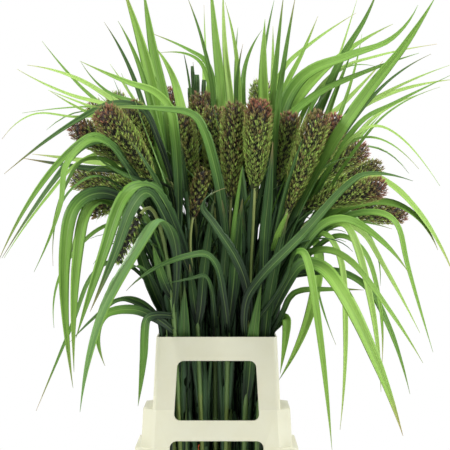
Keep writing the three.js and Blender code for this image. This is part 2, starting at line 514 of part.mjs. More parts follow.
// Leaf blades as they lie in the photograph: [width, depth of the tip, root, ... points ..., tip].
// A root gives the height at which the blade leaves the nearest stem.
const BLADES = [
  // Blades that rise over the left side
  [15, -70, [183, 300], [172, 205], [158, 135], [147, 92], [136, 57], [118, 21]],
  [21, -30, [172, 240], [160, 140], [150, 75], [138, 35], [121, -18]],
  [22, 20, [176, 250], [168, 135], [157, 70], [148, 25], [143, -14]],
  [9, 10, [168, 220], [150, 130], [136, 85], [122, 52], [104, 22]],
  [10, -20, [178, 240], [150, 112], [125, 100], [106, 91], [95, 81], [81, 62]],
  [8, 60, [165, 210], [140, 108], [127, 90], [110, 64]],
  [17, -100, [182, 260], [178, 185], [175, 142], [171, 112], [155, 93], [130, 84], [105, 71], [80, 61]],
  [17, -120, [224, 300], [221, 195], [209, 150], [198, 120], [186, 112], [150, 109], [92, 107]],
  [12, -150, [170, 220], [145, 112], [115, 104], [96, 110], [66, 128], [4, 174]],
  [13, 40, [172, 230], [145, 120], [110, 100], [85, 84], [64, 73], [27, 65]],
  [8, 90, [160, 210], [120, 125], [90, 97], [70, 75], [42, 41]],
  [10, 10, [165, 220], [140, 118], [105, 105], [70, 95], [50, 87], [17, 69]],
  [10, 120, [163, 220], [130, 122], [95, 109], [48, 90]],
  [11, -40, [166, 230], [130, 130], [92, 115], [70, 102], [50, 91]],
  [6, 60, [165, 225], [130, 112], [95, 107], [60, 108], [22, 113]],
  [6, -60, [162, 215], [120, 122], [80, 118], [38, 113], [22, 122], [2, 139]],
  // Blades that arch out and hang on the left
  [12, -150, [170, 250], [125, 160], [97, 136], [72, 150], [50, 175], [26, 207], [-2, 262]],
  [12, -110, [168, 245], [112, 142], [78, 150], [58, 176], [35, 208], [2, 258]],
  [8, -60, [166, 240], [110, 155], [75, 165], [45, 200], [28, 220], [4, 258]],
  [11, -200, [174, 255], [122, 158], [96, 139], [73, 154], [62, 178], [59, 212], [34, 272]],
  [9, -165, [172, 262], [115, 165], [85, 160], [68, 180], [63, 205], [50, 238]],
  [5, -140, [168, 262], [110, 178], [75, 185], [58, 215], [53, 266]],
  [16, 30, [168, 250], [130, 172], [100, 164], [70, 160], [32, 154]],
  [15, -20, [168, 255], [130, 176], [96, 170], [60, 166], [22, 158]],
  [12, -130, [170, 270], [150, 205], [135, 186], [118, 170], [93, 154]],
  [22, -190, [182, 292], [170, 215], [152, 189], [130, 191], [112, 227], [97, 277], [76, 338]],
  [20, -215, [184, 288], [168, 225], [148, 193], [134, 205], [120, 240], [106, 278], [90, 312]],
  [20, -235, [178, 320], [176, 250], [170, 227], [157, 219], [141, 240], [120, 277], [101, 314], [80, 412]],
  [22, -120, [166, 310], [130, 212], [98, 193], [70, 215], [67, 290], [73, 388]],
  [19, -160, [168, 305], [128, 218], [100, 200], [80, 226], [78, 290], [74, 372]],
  [8, -60, [165, 290], [130, 228], [104, 226], [82, 246], [60, 276], [54, 328]],
  [8, -30, [165, 315], [130, 266], [110, 262], [92, 276], [76, 316], [36, 411]],
  [8, -90, [165, 330], [128, 300], [110, 304], [92, 322], [70, 342]],
  [9, -50, [164, 345], [150, 308], [126, 298], [112, 304], [100, 318]],
  [15, -110, [164, 350], [150, 314], [122, 310], [104, 317], [98, 336], [105, 366]],
  [14, -120, [166, 350], [156, 318], [147, 318], [144, 340], [143, 368], [138, 406]],
  [22, -60, [166, 345], [152, 290], [142, 258], [130, 232], [112, 212]],
  // Blades across the middle
  [13, -150, [228, 350], [225, 312], [220, 275], [210, 257], [198, 254], [175, 262], [150, 271], [126, 291]],
  [9, -130, [214, 350], [214, 312], [211, 288], [204, 276], [190, 279], [163, 284]],
  [16, -130, [256, 335], [246, 282], [233, 253], [215, 226], [202, 206], [209, 195], [226, 188]],
  [19, -90, [262, 335], [263, 260], [268, 200], [273, 142]],
  [8, -80, [250, 300], [254, 225], [262, 185], [266, 152]],
  [13, -110, [178, 290], [163, 180], [150, 158], [136, 141], [121, 125]],
  [11, -130, [176, 285], [158, 185], [146, 164], [129, 139]],
  [9, -60, [198, 300], [190, 210], [184, 165], [181, 136]],
  [16, -90, [206, 345], [202, 290], [208, 240], [214, 200]],
  [15, -70, [222, 345], [222, 290], [226, 240], [222, 200]],
  [15, -60, [238, 345], [238, 290], [244, 240], [240, 210]],
  // Blades that stand up over the middle
  [8, 20, [212, 210], [213, 100], [206, 55], [196, 22], [186, -6]],
  [5, 60, [208, 200], [208, 90], [205, 40], [204, 5]],
  [19, -10, [222, 270], [224, 160], [222, 100], [218, 58], [214, 25], [210, -22]],
  [13, 20, [230, 260], [233, 130], [230, 90], [225, 50], [223, -14]],
  [10, 0, [238, 240], [240, 130], [238, 85], [235, 45], [225, 2]],
  [9, 40, [236, 220], [236, 100], [239, 64], [243, 44]],
  [11, 50, [240, 220], [243, 110], [244, 72], [252, 47], [262, 30]],
  [20, 10, [262, 230], [264, 120], [263, 72], [265, 19]],
  [10, 60, [268, 220], [272, 110], [273, 60], [273, 26]],
  [11, -20, [268, 250], [271, 130], [275, 80], [279, 30], [284, -8]],
  [11, -70, [270, 260], [274, 150], [279, 95], [286, 50], [296, -6]],
  [12, 70, [216, 220], [214, 90], [203, 58], [184, 49], [166, 42], [151, 33]],
  [10, 95, [212, 215], [210, 88], [198, 60], [180, 54], [158, 53]],
  [18, 0, [190, 230], [184, 125], [176, 88], [167, 64], [154, 46]],
  [9, 80, [200, 210], [199, 110], [195, 85], [193, 62]],
  [12, 100, [206, 215], [205, 105], [204, 80], [202, 57]],
  // Blades that rise over the right side
  [22, 10, [266, 250], [278, 150], [286, 102], [306, 75], [336, 60], [366, 52], [396, 36], [418, 5]],
  [18, 60, [264, 240], [280, 140], [297, 100], [319, 77], [349, 50], [393, 24]],
  [10, 90, [262, 230], [270, 110], [287, 64], [308, 46], [330, 29], [356, 13]],
  [12, 40, [264, 240], [278, 110], [292, 72], [302, 54], [309, 38], [318, 16]],
  [16, 30, [268, 250], [310, 135], [328, 90], [338, 66], [355, 35], [368, 14], [379, -14]],
  [6, 110, [268, 240], [320, 110], [337, 64], [346, 34], [358, -4]],
  [25, -110, [268, 310], [290, 232], [318, 172], [350, 118], [378, 80], [407, 43], [436, -4]],
  [16, -40, [266, 260], [276, 140], [300, 108], [330, 87], [364, 73], [394, 62], [419, 53]],
  [8, 110, [268, 250], [310, 110], [345, 68], [378, 67]],
  [9, 70, [268, 250], [305, 110], [345, 66], [374, 57], [402, 53], [437, 44]],
  [9, 30, [269, 270], [340, 140], [370, 100], [390, 80], [406, 68], [431, 54]],
  [10, 70, [269, 265], [335, 130], [365, 105], [386, 93], [406, 83], [450, 65]],
  [11, 0, [269, 280], [340, 150], [367, 117], [395, 103], [416, 92], [451, 75]],
  [14, 100, [269, 275], [330, 140], [358, 110], [390, 94], [416, 87], [457, 79]],
  [6, -20, [269, 285], [345, 165], [372, 128], [392, 110], [440, 87]],
  [11, 60, [269, 280], [340, 160], [364, 128], [382, 112], [424, 93]],
  [12, 120, [269, 275], [330, 165], [352, 145], [366, 130], [381, 114]],
  [13, 90, [266, 250], [305, 140], [340, 107], [360, 88], [383, 61]],
  [13, 20, [266, 250], [318, 140], [333, 100], [342, 75], [353, 49]],
  [8, 70, [267, 250], [328, 140], [349, 90], [355, 62], [362, 34]],
  [11, -10, [265, 245], [294, 150], [308, 120], [331, 87]],
  [7, -60, [268, 280], [335, 160], [366, 128], [388, 129], [410, 150], [440, 186]],
  [7, 20, [268, 280], [340, 150], [366, 137], [394, 146], [419, 169]],
  // Blades that arch out and hang on the right
  [
    17, -140, [248, 352], [246, 318], [248, 295], [266, 273], [300, 238],
    [336, 199], [360, 176], [384, 175], [413, 181],
  ],
  [17, -90, [270, 310], [300, 245], [334, 203], [362, 177], [387, 183], [413, 206], [436, 240], [456, 280]],
  [20, -60, [270, 312], [295, 258], [318, 226], [350, 207], [388, 203], [414, 215], [438, 250]],
  [10, -10, [270, 305], [298, 250], [325, 225], [350, 221], [372, 225], [392, 229]],
  [18, -120, [270, 318], [296, 262], [322, 226], [346, 220], [376, 237], [398, 258], [409, 273]],
  [12, 10, [270, 300], [320, 230], [370, 212], [394, 221], [402, 250], [416, 292], [433, 352]],
  [14, -70, [270, 322], [296, 262], [324, 226], [346, 226], [357, 252], [368, 292], [377, 338], [381, 392]],
  [10, -30, [270, 320], [302, 262], [338, 236], [361, 248], [375, 281], [381, 318], [382, 366]],
  [13, 30, [270, 318], [302, 252], [338, 224], [362, 233], [382, 264], [402, 300], [420, 333]],
  [11, -50, [270, 335], [292, 268], [306, 240], [324, 234], [339, 256], [344, 300], [345, 362], [340, 430]],
  [12, -100, [270, 338], [288, 284], [304, 256], [324, 250], [345, 257], [370, 287], [396, 319], [423, 363]],
  [14, -40, [270, 342], [284, 300], [298, 277], [324, 271], [352, 277], [375, 298], [393, 341], [410, 394]],
  [12, -90, [270, 350], [284, 312], [294, 294], [312, 290], [336, 290], [364, 290]],
  [24, -130, [270, 340], [284, 294], [300, 266], [320, 267], [336, 284], [356, 322], [379, 369], [403, 436]],
  [12, -170, [268, 335], [284, 284], [295, 254], [305, 254], [313, 295], [323, 360], [332, 450]],
  [20, 30, [268, 320], [290, 258], [304, 240], [314, 242], [318, 262], [313, 300], [300, 340], [279, 380]],
  [6, 60, [268, 325], [296, 268], [312, 262], [318, 292], [326, 324], [336, 345]],
  [15, -20, [270, 356], [280, 322], [286, 318], [284, 342], [280, 374]],
];

// What stands so far, as { owner, solid, box }: whatever grows next keeps clear of it
const placed = [];

function remember(owner, solid) {
  placed.push({ owner, solid, box: solid.boundingBox() });
}

function boxesNear(a, b) {
  return [0, 1, 2].every((k) => a.min[k] - CLEARANCE < b.max[k] && b.min[k] - CLEARANCE < a.max[k]);
}

function apart(one, other) {
  return one.minGap(other, 2 * CLEARANCE) >= CLEARANCE;
}

function isClear(solid, ownStem) {
  const box = solid.boundingBox();
  return placed.every(
    (other) => other.owner === ownStem || !boxesNear(box, other.box) || apart(solid, other.solid),
  );
}

// Stems and heads grow first. A head that would meet another is moved towards or away from the viewer.
const HEAD_SHIFT = 6;
const HEAD_SHIFTS = 13;

// Tries 0, then one step to either side, then two, and so on
const sideways = (count, step) => step * Math.ceil(count / 2) * (count % 2 ? 1 : -1);

function growStem(stem) {
  for (let k = 0; k < HEAD_SHIFTS; k++) {
    const [base, tip] = [stem.base, stem.tip].map(([u, v, y]) => [u, v, y + sideways(k, HEAD_SHIFT)]);
    const line = culmLine({ ...stem, base, tip });
    const points = [line.foot, line.narrow];
    for (let i = 0; i <= BENDS; i++) points.push(line.over.getPoint(i / BENDS));
    const culm = culmSolid(points, line.lean);
    const head = headSolid({ ...stem, base, tip }, line.neck, line.lean);
    if (isClear(culm) && isClear(head)) {
      remember(stem.name, culm);
      remember("head", head);
      return { ...stem, neck: line.neck, points, culm, head, blades: [] };
    }
  }
  throw new Error("there is no room for the stem " + stem.name);
}

// The point of a stem at a given height
function culmAt({ points }, z) {
  const k = points.findIndex((high, i) => i > 0 && high.z >= z && points[i - 1].z <= z);
  if (k < 0) return null;
  const [low, high] = [points[k - 1], points[k]];
  return low.clone().lerp(high, (z - low.z) / (high.z - low.z));
}

// Grows one blade on a stem: makePath(step) gives its line, and steps are tried until it is clear of
// everything, past its root of its own stem too. It says whether there was room.
const BEND_TRIES = 19;
const ROLLS = [0, 0.5, -0.5];

function growBlade(stem, { width, face, roll, pieces }, makePath) {
  for (let k = 0; k < BEND_TRIES; k++) {
    const path = makePath(sideways(k, 1));
    for (const more of ROLLS) {
      const free = bladeSolid(path, width, face, roll + more, pieces, 1);
      const own = [stem.culm, stem.head, ...stem.blades.map((blade) => blade.free)];
      if (!isClear(free, stem.name) || !own.every((other) => apart(free, other))) continue;
      const whole = bladeSolid(path, width, face, roll + more, pieces);
      if (!isClear(whole, stem.name)) continue;
      stem.blades.push({ free, whole });
      remember(stem.name, whole);
      return true;
    }
  }
  return false;
}

// A blade of the photograph grows on the nearest stem with room, and bends in depth alone
const BEND_DEPTH = 16;
const EASE = 2; // how fast it moves off in depth at its root, and less so towards its tip
const BUSY_STEM = 7; // how much further away each blade that a stem already has makes it count
const ROOT_DEPTH = 50; // no root is wanted further forward or back than this
const ROOT_SHARE = 0.4; // of the depth of the blade's tip
const NEAREST_STEMS = 6;
const BELOW_HEAD = 20; // no blade leaves its stem closer to the head than this
const NARROW_BLADE = 9; // a narrower one is made of fewer pieces
const PIECES = { least: 4, narrow: 5, most: 6 };
const PICTURED_ROLL = 0.25;
const FACE_FRONT = new THREE.Vector3(0, -0.72, 0.69);

function growPicturedBlade([width, tipDepth, root, ...points], leafyStems) {
  const rootDepth = Math.max(-ROOT_DEPTH, Math.min(ROOT_DEPTH, tipDepth * ROOT_SHARE));
  const wanted = place(root[0], root[1], rootDepth);
  const near = leafyStems
    .map((stem) => ({ stem, at: culmAt(stem, wanted.z) }))
    .filter(({ stem, at }) => at && at.z < stem.neck.z - BELOW_HEAD)
    .map((one) => ({ ...one, cost: one.at.distanceTo(wanted) + one.stem.blades.length * BUSY_STEM }))
    .sort((a, b) => a.cost - b.cost)
    .slice(0, NEAREST_STEMS);
  const most = width < NARROW_BLADE ? PIECES.narrow : PIECES.most;
  const pieces = Math.max(PIECES.least, Math.min(most, points.length));
  const roll = spread(-PICTURED_ROLL, PICTURED_ROLL);
  const shape = { width, face: FACE_FRONT, roll, pieces };
  for (const { stem, at } of near) {
    const reach = (step) => tipDepth + step * BEND_DEPTH - at.y;
    const makePath = (step) => [
      at,
      ...points.map(([u, v], i) => {
        const share = (i + 1) / points.length;
        return place(u, v, at.y + reach(step) * share * (EASE + (1 - EASE) * share));
      }),
    ];
    if (growBlade(stem, shape, makePath)) return;
  }
}

// An inner blade stands up close to its stem, leans the way that the stem does, and fills the bunch
const INNER = { root: [312, 420], rise: [190, 330], reach: [14, 40], width: [17, 25], roll: [-0.3, 0.3] };
const INNER_ASIDE = 1.1; // how far its heading may be from the stem's, in radians
const LEAFY_ENOUGH = 7; // a stem with this many blades grows no inner one
const INNER_TURN = 0.8; // from one tried heading to the next
const INNER_FLAT = 0.7; // they reach less far to the front and back than to the sides
const INNER_OFF = 5; // how far one stands off its stem
const INNER_BELOW_HEAD = 15;
const INNER_SHARES = [0, 0.3, 0.65, 1];

function growInnerBlade(stem) {
  const low = spread(...INNER.root);
  const rise = spread(...INNER.rise);
  const reach = spread(...INNER.reach);
  const foot = culmAt(stem, low);
  const heading =
    Math.atan2(stem.neck.y - foot.y, stem.neck.x - foot.x) + spread(-INNER_ASIDE, INNER_ASIDE);
  const width = spread(...INNER.width);
  const shape = { width, face: FACE_FRONT, roll: spread(...INNER.roll), pieces: PIECES.least };
  if (stem.blades.length >= LEAFY_ENOUGH) return;
  growBlade(stem, shape, (step) => {
    const angle = heading + step * INNER_TURN;
    const out = new THREE.Vector3(Math.cos(angle), Math.sin(angle) * INNER_FLAT, 0);
    return INNER_SHARES.map((share) => {
      const z = low + rise * share;
      const beside = culmAt(stem, Math.min(z, stem.neck.z - INNER_BELOW_HEAD)).setZ(z);
      return beside.addScaledVector(out, share === 0 ? 0 : INNER_OFF + reach * share * share);
    });
  });
}

// A rear blade rises out of the back of the bunch and arches over behind it
const REAR = { root: [430, 560], rise: [200, 340], reach: [110, 240], width: [14, 22], sag: [40, 260] };
const REAR_BLADES = 7;
const REAR_SHARES = [0, 0.22, 0.5, 0.78, 1];
const REAR_LIFT = [0, 0.62, 0.95, 1, 0.8]; // how high it has risen at each of those shares
const REAR_FAN = [0.12, 0.88]; // headings, from the right side round the back to the left, in half turns
const REAR_TURN = 0.13; // from one tried heading to the next
const REAR_BELOW_HEAD = 30;
const REAR_RIM = 10; // a stem that leaves the rim further back than this can carry one
const FACE_BACK = new THREE.Vector3(0, 0.5, 0.86);

function growRearBlade(stem, turn) {
  const low = spread(...REAR.root);
  const rise = spread(...REAR.rise);
  const reach = spread(...REAR.reach);
  const sag = spread(...REAR.sag);
  const heading = Math.PI * (REAR_FAN[0] + (REAR_FAN[1] - REAR_FAN[0]) * turn);
  const at = culmAt(stem, Math.min(low, stem.neck.z - REAR_BELOW_HEAD));
  const shape = { width: spread(...REAR.width), face: FACE_BACK, roll: 0, pieces: PIECES.narrow };
  growBlade(stem, shape, (step) => {
    const angle = heading + step * REAR_TURN;
    const out = new THREE.Vector3(Math.cos(angle), Math.sin(angle), 0);
    return REAR_SHARES.map((share, k) => {
      const lift = new THREE.Vector3(0, 0, rise * REAR_LIFT[k] - sag * share * share);
      return at.clone().addScaledVector(out, reach * share).add(lift);
    });
  });
}

// An elastic tie round each bunch: the hull of its stems' outlines
function hull(points) {
  const sorted = [...points].sort((a, b) => a.x - b.x || a.y - b.y);
  const turn = (o, a, b) => (a.x - o.x) * (b.y - o.y) - (a.y - o.y) * (b.x - o.x);
  const chain = (list) => {
    const kept = [];
    for (const point of list) {
      while (kept.length > 1 && turn(kept[kept.length - 2], kept[kept.length - 1], point) <= 0) kept.pop();
      kept.push(point);
    }
    return kept.slice(0, -1);
  };
  return [...chain(sorted), ...chain(sorted.reverse())];
}

// A straight-sided block between two heights that surrounds the stems, `reach` from their middles
const TIE_CORNERS = 8; // round each stem

function aroundStems(stems, reach, zLow, zHigh) {
  const corners = stems.flatMap((stem) => {
    const middle = culmAt(stem, TIE_Z - TIE_HEIGHT / 2);
    return Array.from({ length: TIE_CORNERS }, (_, i) => {
      const angle = (2 * Math.PI * i) / TIE_CORNERS;
      return new THREE.Vector2(middle.x + reach * Math.cos(angle), middle.y + reach * Math.sin(angle));
    });
  });
  const outline = hull(corners);
  return solidOf(skin([zLow, zHigh].map((z) => outline.map(({ x, y }) => new THREE.Vector3(x, y, z)))));
}

function tie(stems) {
  const [zLow, zHigh] = [TIE_Z - TIE_HEIGHT / 2, TIE_Z + TIE_HEIGHT / 2];
  const inside = aroundStems(stems, CULM_R + TIE_GAP, zLow - PAST, zHigh + PAST);
  return aroundStems(stems, CULM_R + TIE_GAP + TIE_THICK, zLow, zHigh).subtract(inside);
}

// The water in the bucket, with a plain hole for each stem
function water(leafyStems) {
  const plan = grown(BUCKET_FOOT, -WALL - GAP);
  let body = taperedBox(FLOOR_THICK + GAP, plan, WATER_Z, plan, BUCKET_R - WALL, CORNER_STEPS);
  const radius = CULM_R + GAP / Math.cos(Math.PI / CULM_SIDES);
  for (const { points } of leafyStems) {
    const [foot, narrow] = points;
    const hole = [foot.z - PAST, WATER_Z + PAST].map((z) => {
      const middle = foot.clone().lerp(narrow, (z - foot.z) / (narrow.z - foot.z));
      return Array.from({ length: CULM_SIDES }, (_, i) => {
        const angle = (2 * Math.PI * i) / CULM_SIDES;
        return new THREE.Vector3(radius * Math.cos(angle), radius * Math.sin(angle), 0).add(middle);
      });
    });
    body = body.subtract(solidOf(skin(hole)));
  }
  return body;
}

// Materials
const PLASTIC = new THREE.MeshStandardMaterial({ color: 0xdcd9c0, roughness: 0.45, metalness: 0 });
const ELASTIC = new THREE.MeshStandardMaterial({ color: 0xc8431c, roughness: 0.6, metalness: 0 });
const WATER = new THREE.MeshStandardMaterial({ color: 0xbfd0c8, roughness: 0.08, metalness: 0 });
const LEAF = new THREE.MeshStandardMaterial({ color: 0x4f8f2c, roughness: 0.5, metalness: 0 });
const SEED_HEAD = new THREE.MeshStandardMaterial({ color: 0x6b6a32, roughness: 0.85, metalness: 0 });

// The object
const millet = new THREE.Group();

function addPart(name, solid, material) {
  const mesh = new THREE.Mesh(geometryOf(solid), material);
  mesh.name = name;
  millet.add(mesh);
}

const collarSolid = collar();
remember("collar", collarSolid);
addPart("collar", collarSolid, PLASTIC);
addPart("bucket", bucket(), PLASTIC);

const leafyStems = STEMS.map(growStem);
const rearStems = leafyStems.filter(({ rim }) => rim[1] > REAR_RIM);
BUNCHES.forEach((name, bunch) => {
  const band = tie(leafyStems.filter((stem) => stem.bunch === bunch));
  remember("tie", band);
  addPart("tie_" + name, band, ELASTIC);
});

BLADES.forEach((blade) => growPicturedBlade(blade, leafyStems));
leafyStems.forEach(growInnerBlade);
for (let i = 0; i < REAR_BLADES; i++) {
  growRearBlade(rearStems[i % rearStems.length], (i + random()) / REAR_BLADES);
}

// Where a blade lies along its own stem the two can close in a small void: only the outer skin is kept
for (const { name, culm, head, blades } of leafyStems) {
  const skins = blades.reduce((stem, blade) => stem.add(blade.whole), culm).decompose();
  const outer = skins.reduce((most, one) => (one.volume() > most.volume() ? one : most));
  addPart("stem_" + name, outer, LEAF);
  addPart("head_" + name, head, SEED_HEAD);
}
addPart("water", water(leafyStems), WATER);

export default millet;
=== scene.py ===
import math
import random

import bpy
import numpy as np
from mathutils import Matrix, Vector


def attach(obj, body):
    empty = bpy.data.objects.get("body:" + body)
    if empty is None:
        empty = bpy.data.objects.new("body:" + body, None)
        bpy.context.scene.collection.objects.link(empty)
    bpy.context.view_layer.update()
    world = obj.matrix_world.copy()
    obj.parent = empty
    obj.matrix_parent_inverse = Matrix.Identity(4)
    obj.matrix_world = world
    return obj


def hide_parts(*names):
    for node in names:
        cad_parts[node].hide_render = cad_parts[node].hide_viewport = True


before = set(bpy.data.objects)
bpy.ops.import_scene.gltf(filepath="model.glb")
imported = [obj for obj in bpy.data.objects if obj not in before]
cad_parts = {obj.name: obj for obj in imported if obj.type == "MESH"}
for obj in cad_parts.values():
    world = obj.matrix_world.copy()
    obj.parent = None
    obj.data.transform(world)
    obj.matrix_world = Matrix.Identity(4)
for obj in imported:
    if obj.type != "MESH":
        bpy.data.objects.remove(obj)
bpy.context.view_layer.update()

# Collar of the holder: one thin moulding of cream polypropylene in three tiers, each wider than the
# one above. It has a rounded window in every side of both storeys, with its edge turned in to a
# sill, and it stands on the bucket's flange.
WALL = 0.0025
RIM_Z = 0.470
UPPER_STEP_Z = 0.357
LOWER_STEP_Z = 0.298
COLLAR_FOOT_Z = 0.1703
COLLAR_CORNER_R = 0.009
COLLAR_CORNER_STEPS = 6
COLLAR_CHAMFER = 0.021
COLLAR_PAST = 0.005          # how far a cutting block runs past what it cuts
SILL_DEPTH = 0.008
WINDOW_R = 0.010
WINDOW_STEPS = 6
WINDOW_REACH = 0.022         # how far the cut for a window runs in from the wall
MOULDED_EDGE = 0.0006
MOULDED_EDGE_STEPS = 2
ROUNDED_BEND = math.radians(28)      # the least bend that a mould rounds off
SMOOTH_BEND = math.radians(32)       # the greatest bend that is shaded smooth
TIERS = [
    {"low_z": UPPER_STEP_Z, "high_z": RIM_Z, "low": (0.199, 0.142), "high": (0.188, 0.134),
     "corner": COLLAR_CORNER_R, "steps": COLLAR_CORNER_STEPS},
    {"low_z": LOWER_STEP_Z, "high_z": UPPER_STEP_Z, "low": (0.236, 0.147), "high": (0.230, 0.142),
     "corner": COLLAR_CHAMFER, "steps": 1},
    {"low_z": COLLAR_FOOT_Z, "high_z": LOWER_STEP_Z, "low": (0.262, 0.172), "high": (0.254, 0.152),
     "corner": COLLAR_CORNER_R, "steps": COLLAR_CORNER_STEPS},
]
WINDOWS = [
    {"across": 0, "z": (0.340, 0.433), "width": (0.133, 0.122), "wall": 0.0716},
    {"across": 0, "z": (0.214, 0.309), "width": (0.156, 0.144), "wall": 0.0826},
    {"across": 1, "z": (0.372, 0.433), "width": (0.078, 0.073), "wall": 0.0990},
    {"across": 1, "z": (0.218, 0.286), "width": (0.092, 0.086), "wall": 0.1295},
]


def select_only(*objects):
    bpy.ops.object.select_all(action="DESELECT")
    for obj in objects:
        obj.select_set(True)
    bpy.context.view_layer.objects.active = objects[0]


def pick(obj, parts, wanted):
    """Enters edit mode with just those edges or faces selected that `wanted` is true of."""
    select_only(obj)
    bpy.ops.object.mode_set(mode="EDIT")
    bpy.ops.mesh.select_mode(type="EDGE" if parts == "edges" else "FACE")
    bpy.ops.mesh.select_all(action="DESELECT")
    bpy.ops.object.mode_set(mode="OBJECT")
    mesh = obj.data
    for part in mesh.edges if parts == "edges" else mesh.polygons:
        corners = [mesh.vertices[v].co for v in part.vertices]
        part.select = wanted(corners)
    bpy.ops.object.mode_set(mode="EDIT")


def shaped_block(size, place, top, axis, radius, steps):
    """A block with its top drawn in to the shares in `top`. Its edges that run along one axis are
    rounded or, in one step, chamfered."""
    bpy.ops.object.select_all(action="DESELECT")
    bpy.ops.mesh.primitive_cube_add(size=1, location=place, scale=size)
    block = bpy.context.active_object
    bpy.ops.object.transform_apply(location=True, rotation=False, scale=True)
    pick(block, "faces", lambda corners: all(c.z > place[2] for c in corners))
    bpy.ops.transform.resize(value=top, center_override=place)
    bpy.ops.object.mode_set(mode="OBJECT")
    pick(block, "edges", lambda corners: abs(corners[0][axis] - corners[1][axis]) > size[axis] / 2)
    bpy.ops.mesh.bevel(offset=radius, segments=steps, affect="EDGES")
    bpy.ops.object.mode_set(mode="OBJECT")
    return block


def tapered_block(low_z, low, high_z, high, corner, steps):
    """An upright block, `low` across at its foot and `high` across at its top."""
    size, place = (*low, high_z - low_z), (0, 0, (low_z + high_z) / 2)
    return shaped_block(size, place, (high[0] / low[0], high[1] / low[1], 1), 2, corner, steps)


def boolean(obj, other, how):
    """Adds, cuts away or keeps the common part of another object, which is used up."""
    select_only(obj)
    step = obj.modifiers.new("step", "BOOLEAN")
    step.operation = how
    step.object = other
    step.solver = "EXACT"
    bpy.ops.object.modifier_apply(modifier=step.name)
    bpy.data.objects.remove(other)


def joined(objects):
    select_only(*objects)
    bpy.ops.object.join()
    return bpy.context.active_object


def tier_stack(inset):
    """The three tiers as one block or, with an inset, the space that far inside their walls."""
    stack = None
    for tier in TIERS:
        low_z = tier["low_z"] - (inset if tier is not TIERS[2] else 0)
        high_z = tier["high_z"] - (inset if tier is not TIERS[0] else 0)
        if inset and tier is TIERS[0]:
            high_z += COLLAR_PAST
        if inset and tier is TIERS[2]:
            low_z -= COLLAR_PAST
        low, high = ([side - 2 * inset for side in tier[plan]] for plan in ("low", "high"))
        corner = tier["corner"] - (inset if tier["steps"] > 1 else 0)
        block = tapered_block(low_z, low, high_z, high, corner, tier["steps"])
        if stack:
            boolean(stack, block, "UNION")
        else:
            stack = block
    return stack


def window_bar(window, side, grow, near, far):
    """A bar with the window's outline, pushed through one wall from `near` to `far`."""
    low_z, high_z = window["z"][0] - grow, window["z"][1] + grow
    low, high = (width + 2 * grow for width in window["width"])
    across, through = window["across"], 1 - window["across"]
    size, place, top = [0, 0, high_z - low_z], [0, 0, (low_z + high_z) / 2], [1, 1, 1]
    size[across], size[through] = low, far - near
    place[through] = side * (near + far) / 2
    top[across] = high / low
    return shaped_block(size, place, top, through, WINDOW_R + grow, WINDOW_STEPS)


def window_bars(grow, start):
    return joined([
        window_bar(window, side, grow, window["wall"] - start, window["wall"] + COLLAR_PAST)
        for window in WINDOWS for side in (-1, 1)])


def finish_moulding(obj, name):
    """Rounds every edge as a mould does, and names the piece."""
    select_only(obj)
    soften = obj.modifiers.new("soften", "BEVEL")
    soften.width = MOULDED_EDGE
    soften.segments = MOULDED_EDGE_STEPS
    soften.limit_method = "ANGLE"
    soften.angle_limit = ROUNDED_BEND
    soften.use_clamp_overlap = True
    bpy.ops.object.modifier_apply(modifier=soften.name)
    bpy.ops.object.shade_smooth_by_angle(angle=SMOOTH_BEND)
    obj.name = obj.data.name = name


collar = tier_stack(0)
collar_solid = tier_stack(0)
boolean(collar, tier_stack(WALL), "DIFFERENCE")
boolean(collar_solid, tier_stack(SILL_DEPTH), "DIFFERENCE")
sills = window_bars(WALL, WINDOW_REACH)
boolean(sills, collar_solid, "INTERSECT")
boolean(collar, sills, "UNION")
boolean(collar, window_bars(0, WINDOW_REACH), "DIFFERENCE")
finish_moulding(collar, "holder_collar")


def new_group(name, inputs, outputs):
    """An empty shader node group. Its inputs are (kind, name, value), and its outputs (kind, name)."""
    group = bpy.data.node_groups.new(name, "ShaderNodeTree")
    for kind, label, value in inputs:
        group.interface.new_socket(label, in_out="INPUT", socket_type=kind).default_value = value
    for kind, label in outputs:
        group.interface.new_socket(label, in_out="OUTPUT", socket_type=kind)
    return group, group.nodes.new("NodeGroupInput"), group.nodes.new("NodeGroupOutput")


def wire(tree, *links):
    """Joins nodes. Each link is a node, its output, the next node and that one's input."""
    for source, output, target, entry in links:
        tree.links.new(source.outputs[output], target.inputs[entry])


def add_node(tree, kind, **settings):
    """A node with its settings, and with the sockets named in `values` filled in."""
    values = settings.pop("values", {})
    node = tree.nodes.new("ShaderNode" + kind)
    for label, value in settings.items():
        setattr(node, label, value)
    for label, value in values.items():
        node.inputs[label].default_value = value
    return node


def add_ramp(tree, stops):
    node = add_node(tree, "ValToRGB")
    for i, (at, colour) in enumerate(stops):
        stop = node.color_ramp.elements[i] if i < 2 else node.color_ramp.elements.new(at)
        stop.position = at
        stop.color = (*colour, 1)
    return node


def add_range(tree, from_min, from_max, to_min, to_max):
    return add_node(tree, "MapRange", values={
        "From Min": from_min, "From Max": from_max, "To Min": to_min, "To Max": to_max})


def new_material(name, values):
    """A material of one shader, with the shader's sockets named in `values` filled in."""
    material = bpy.data.materials.new(name)
    material.use_nodes = True
    tree = material.node_tree
    tree.nodes.clear()
    shader = add_node(tree, "BsdfPrincipled", values=values)
    output = add_node(tree, "OutputMaterial")
    wire(tree, (shader, 0, output, "Surface"))
    return material, tree, shader


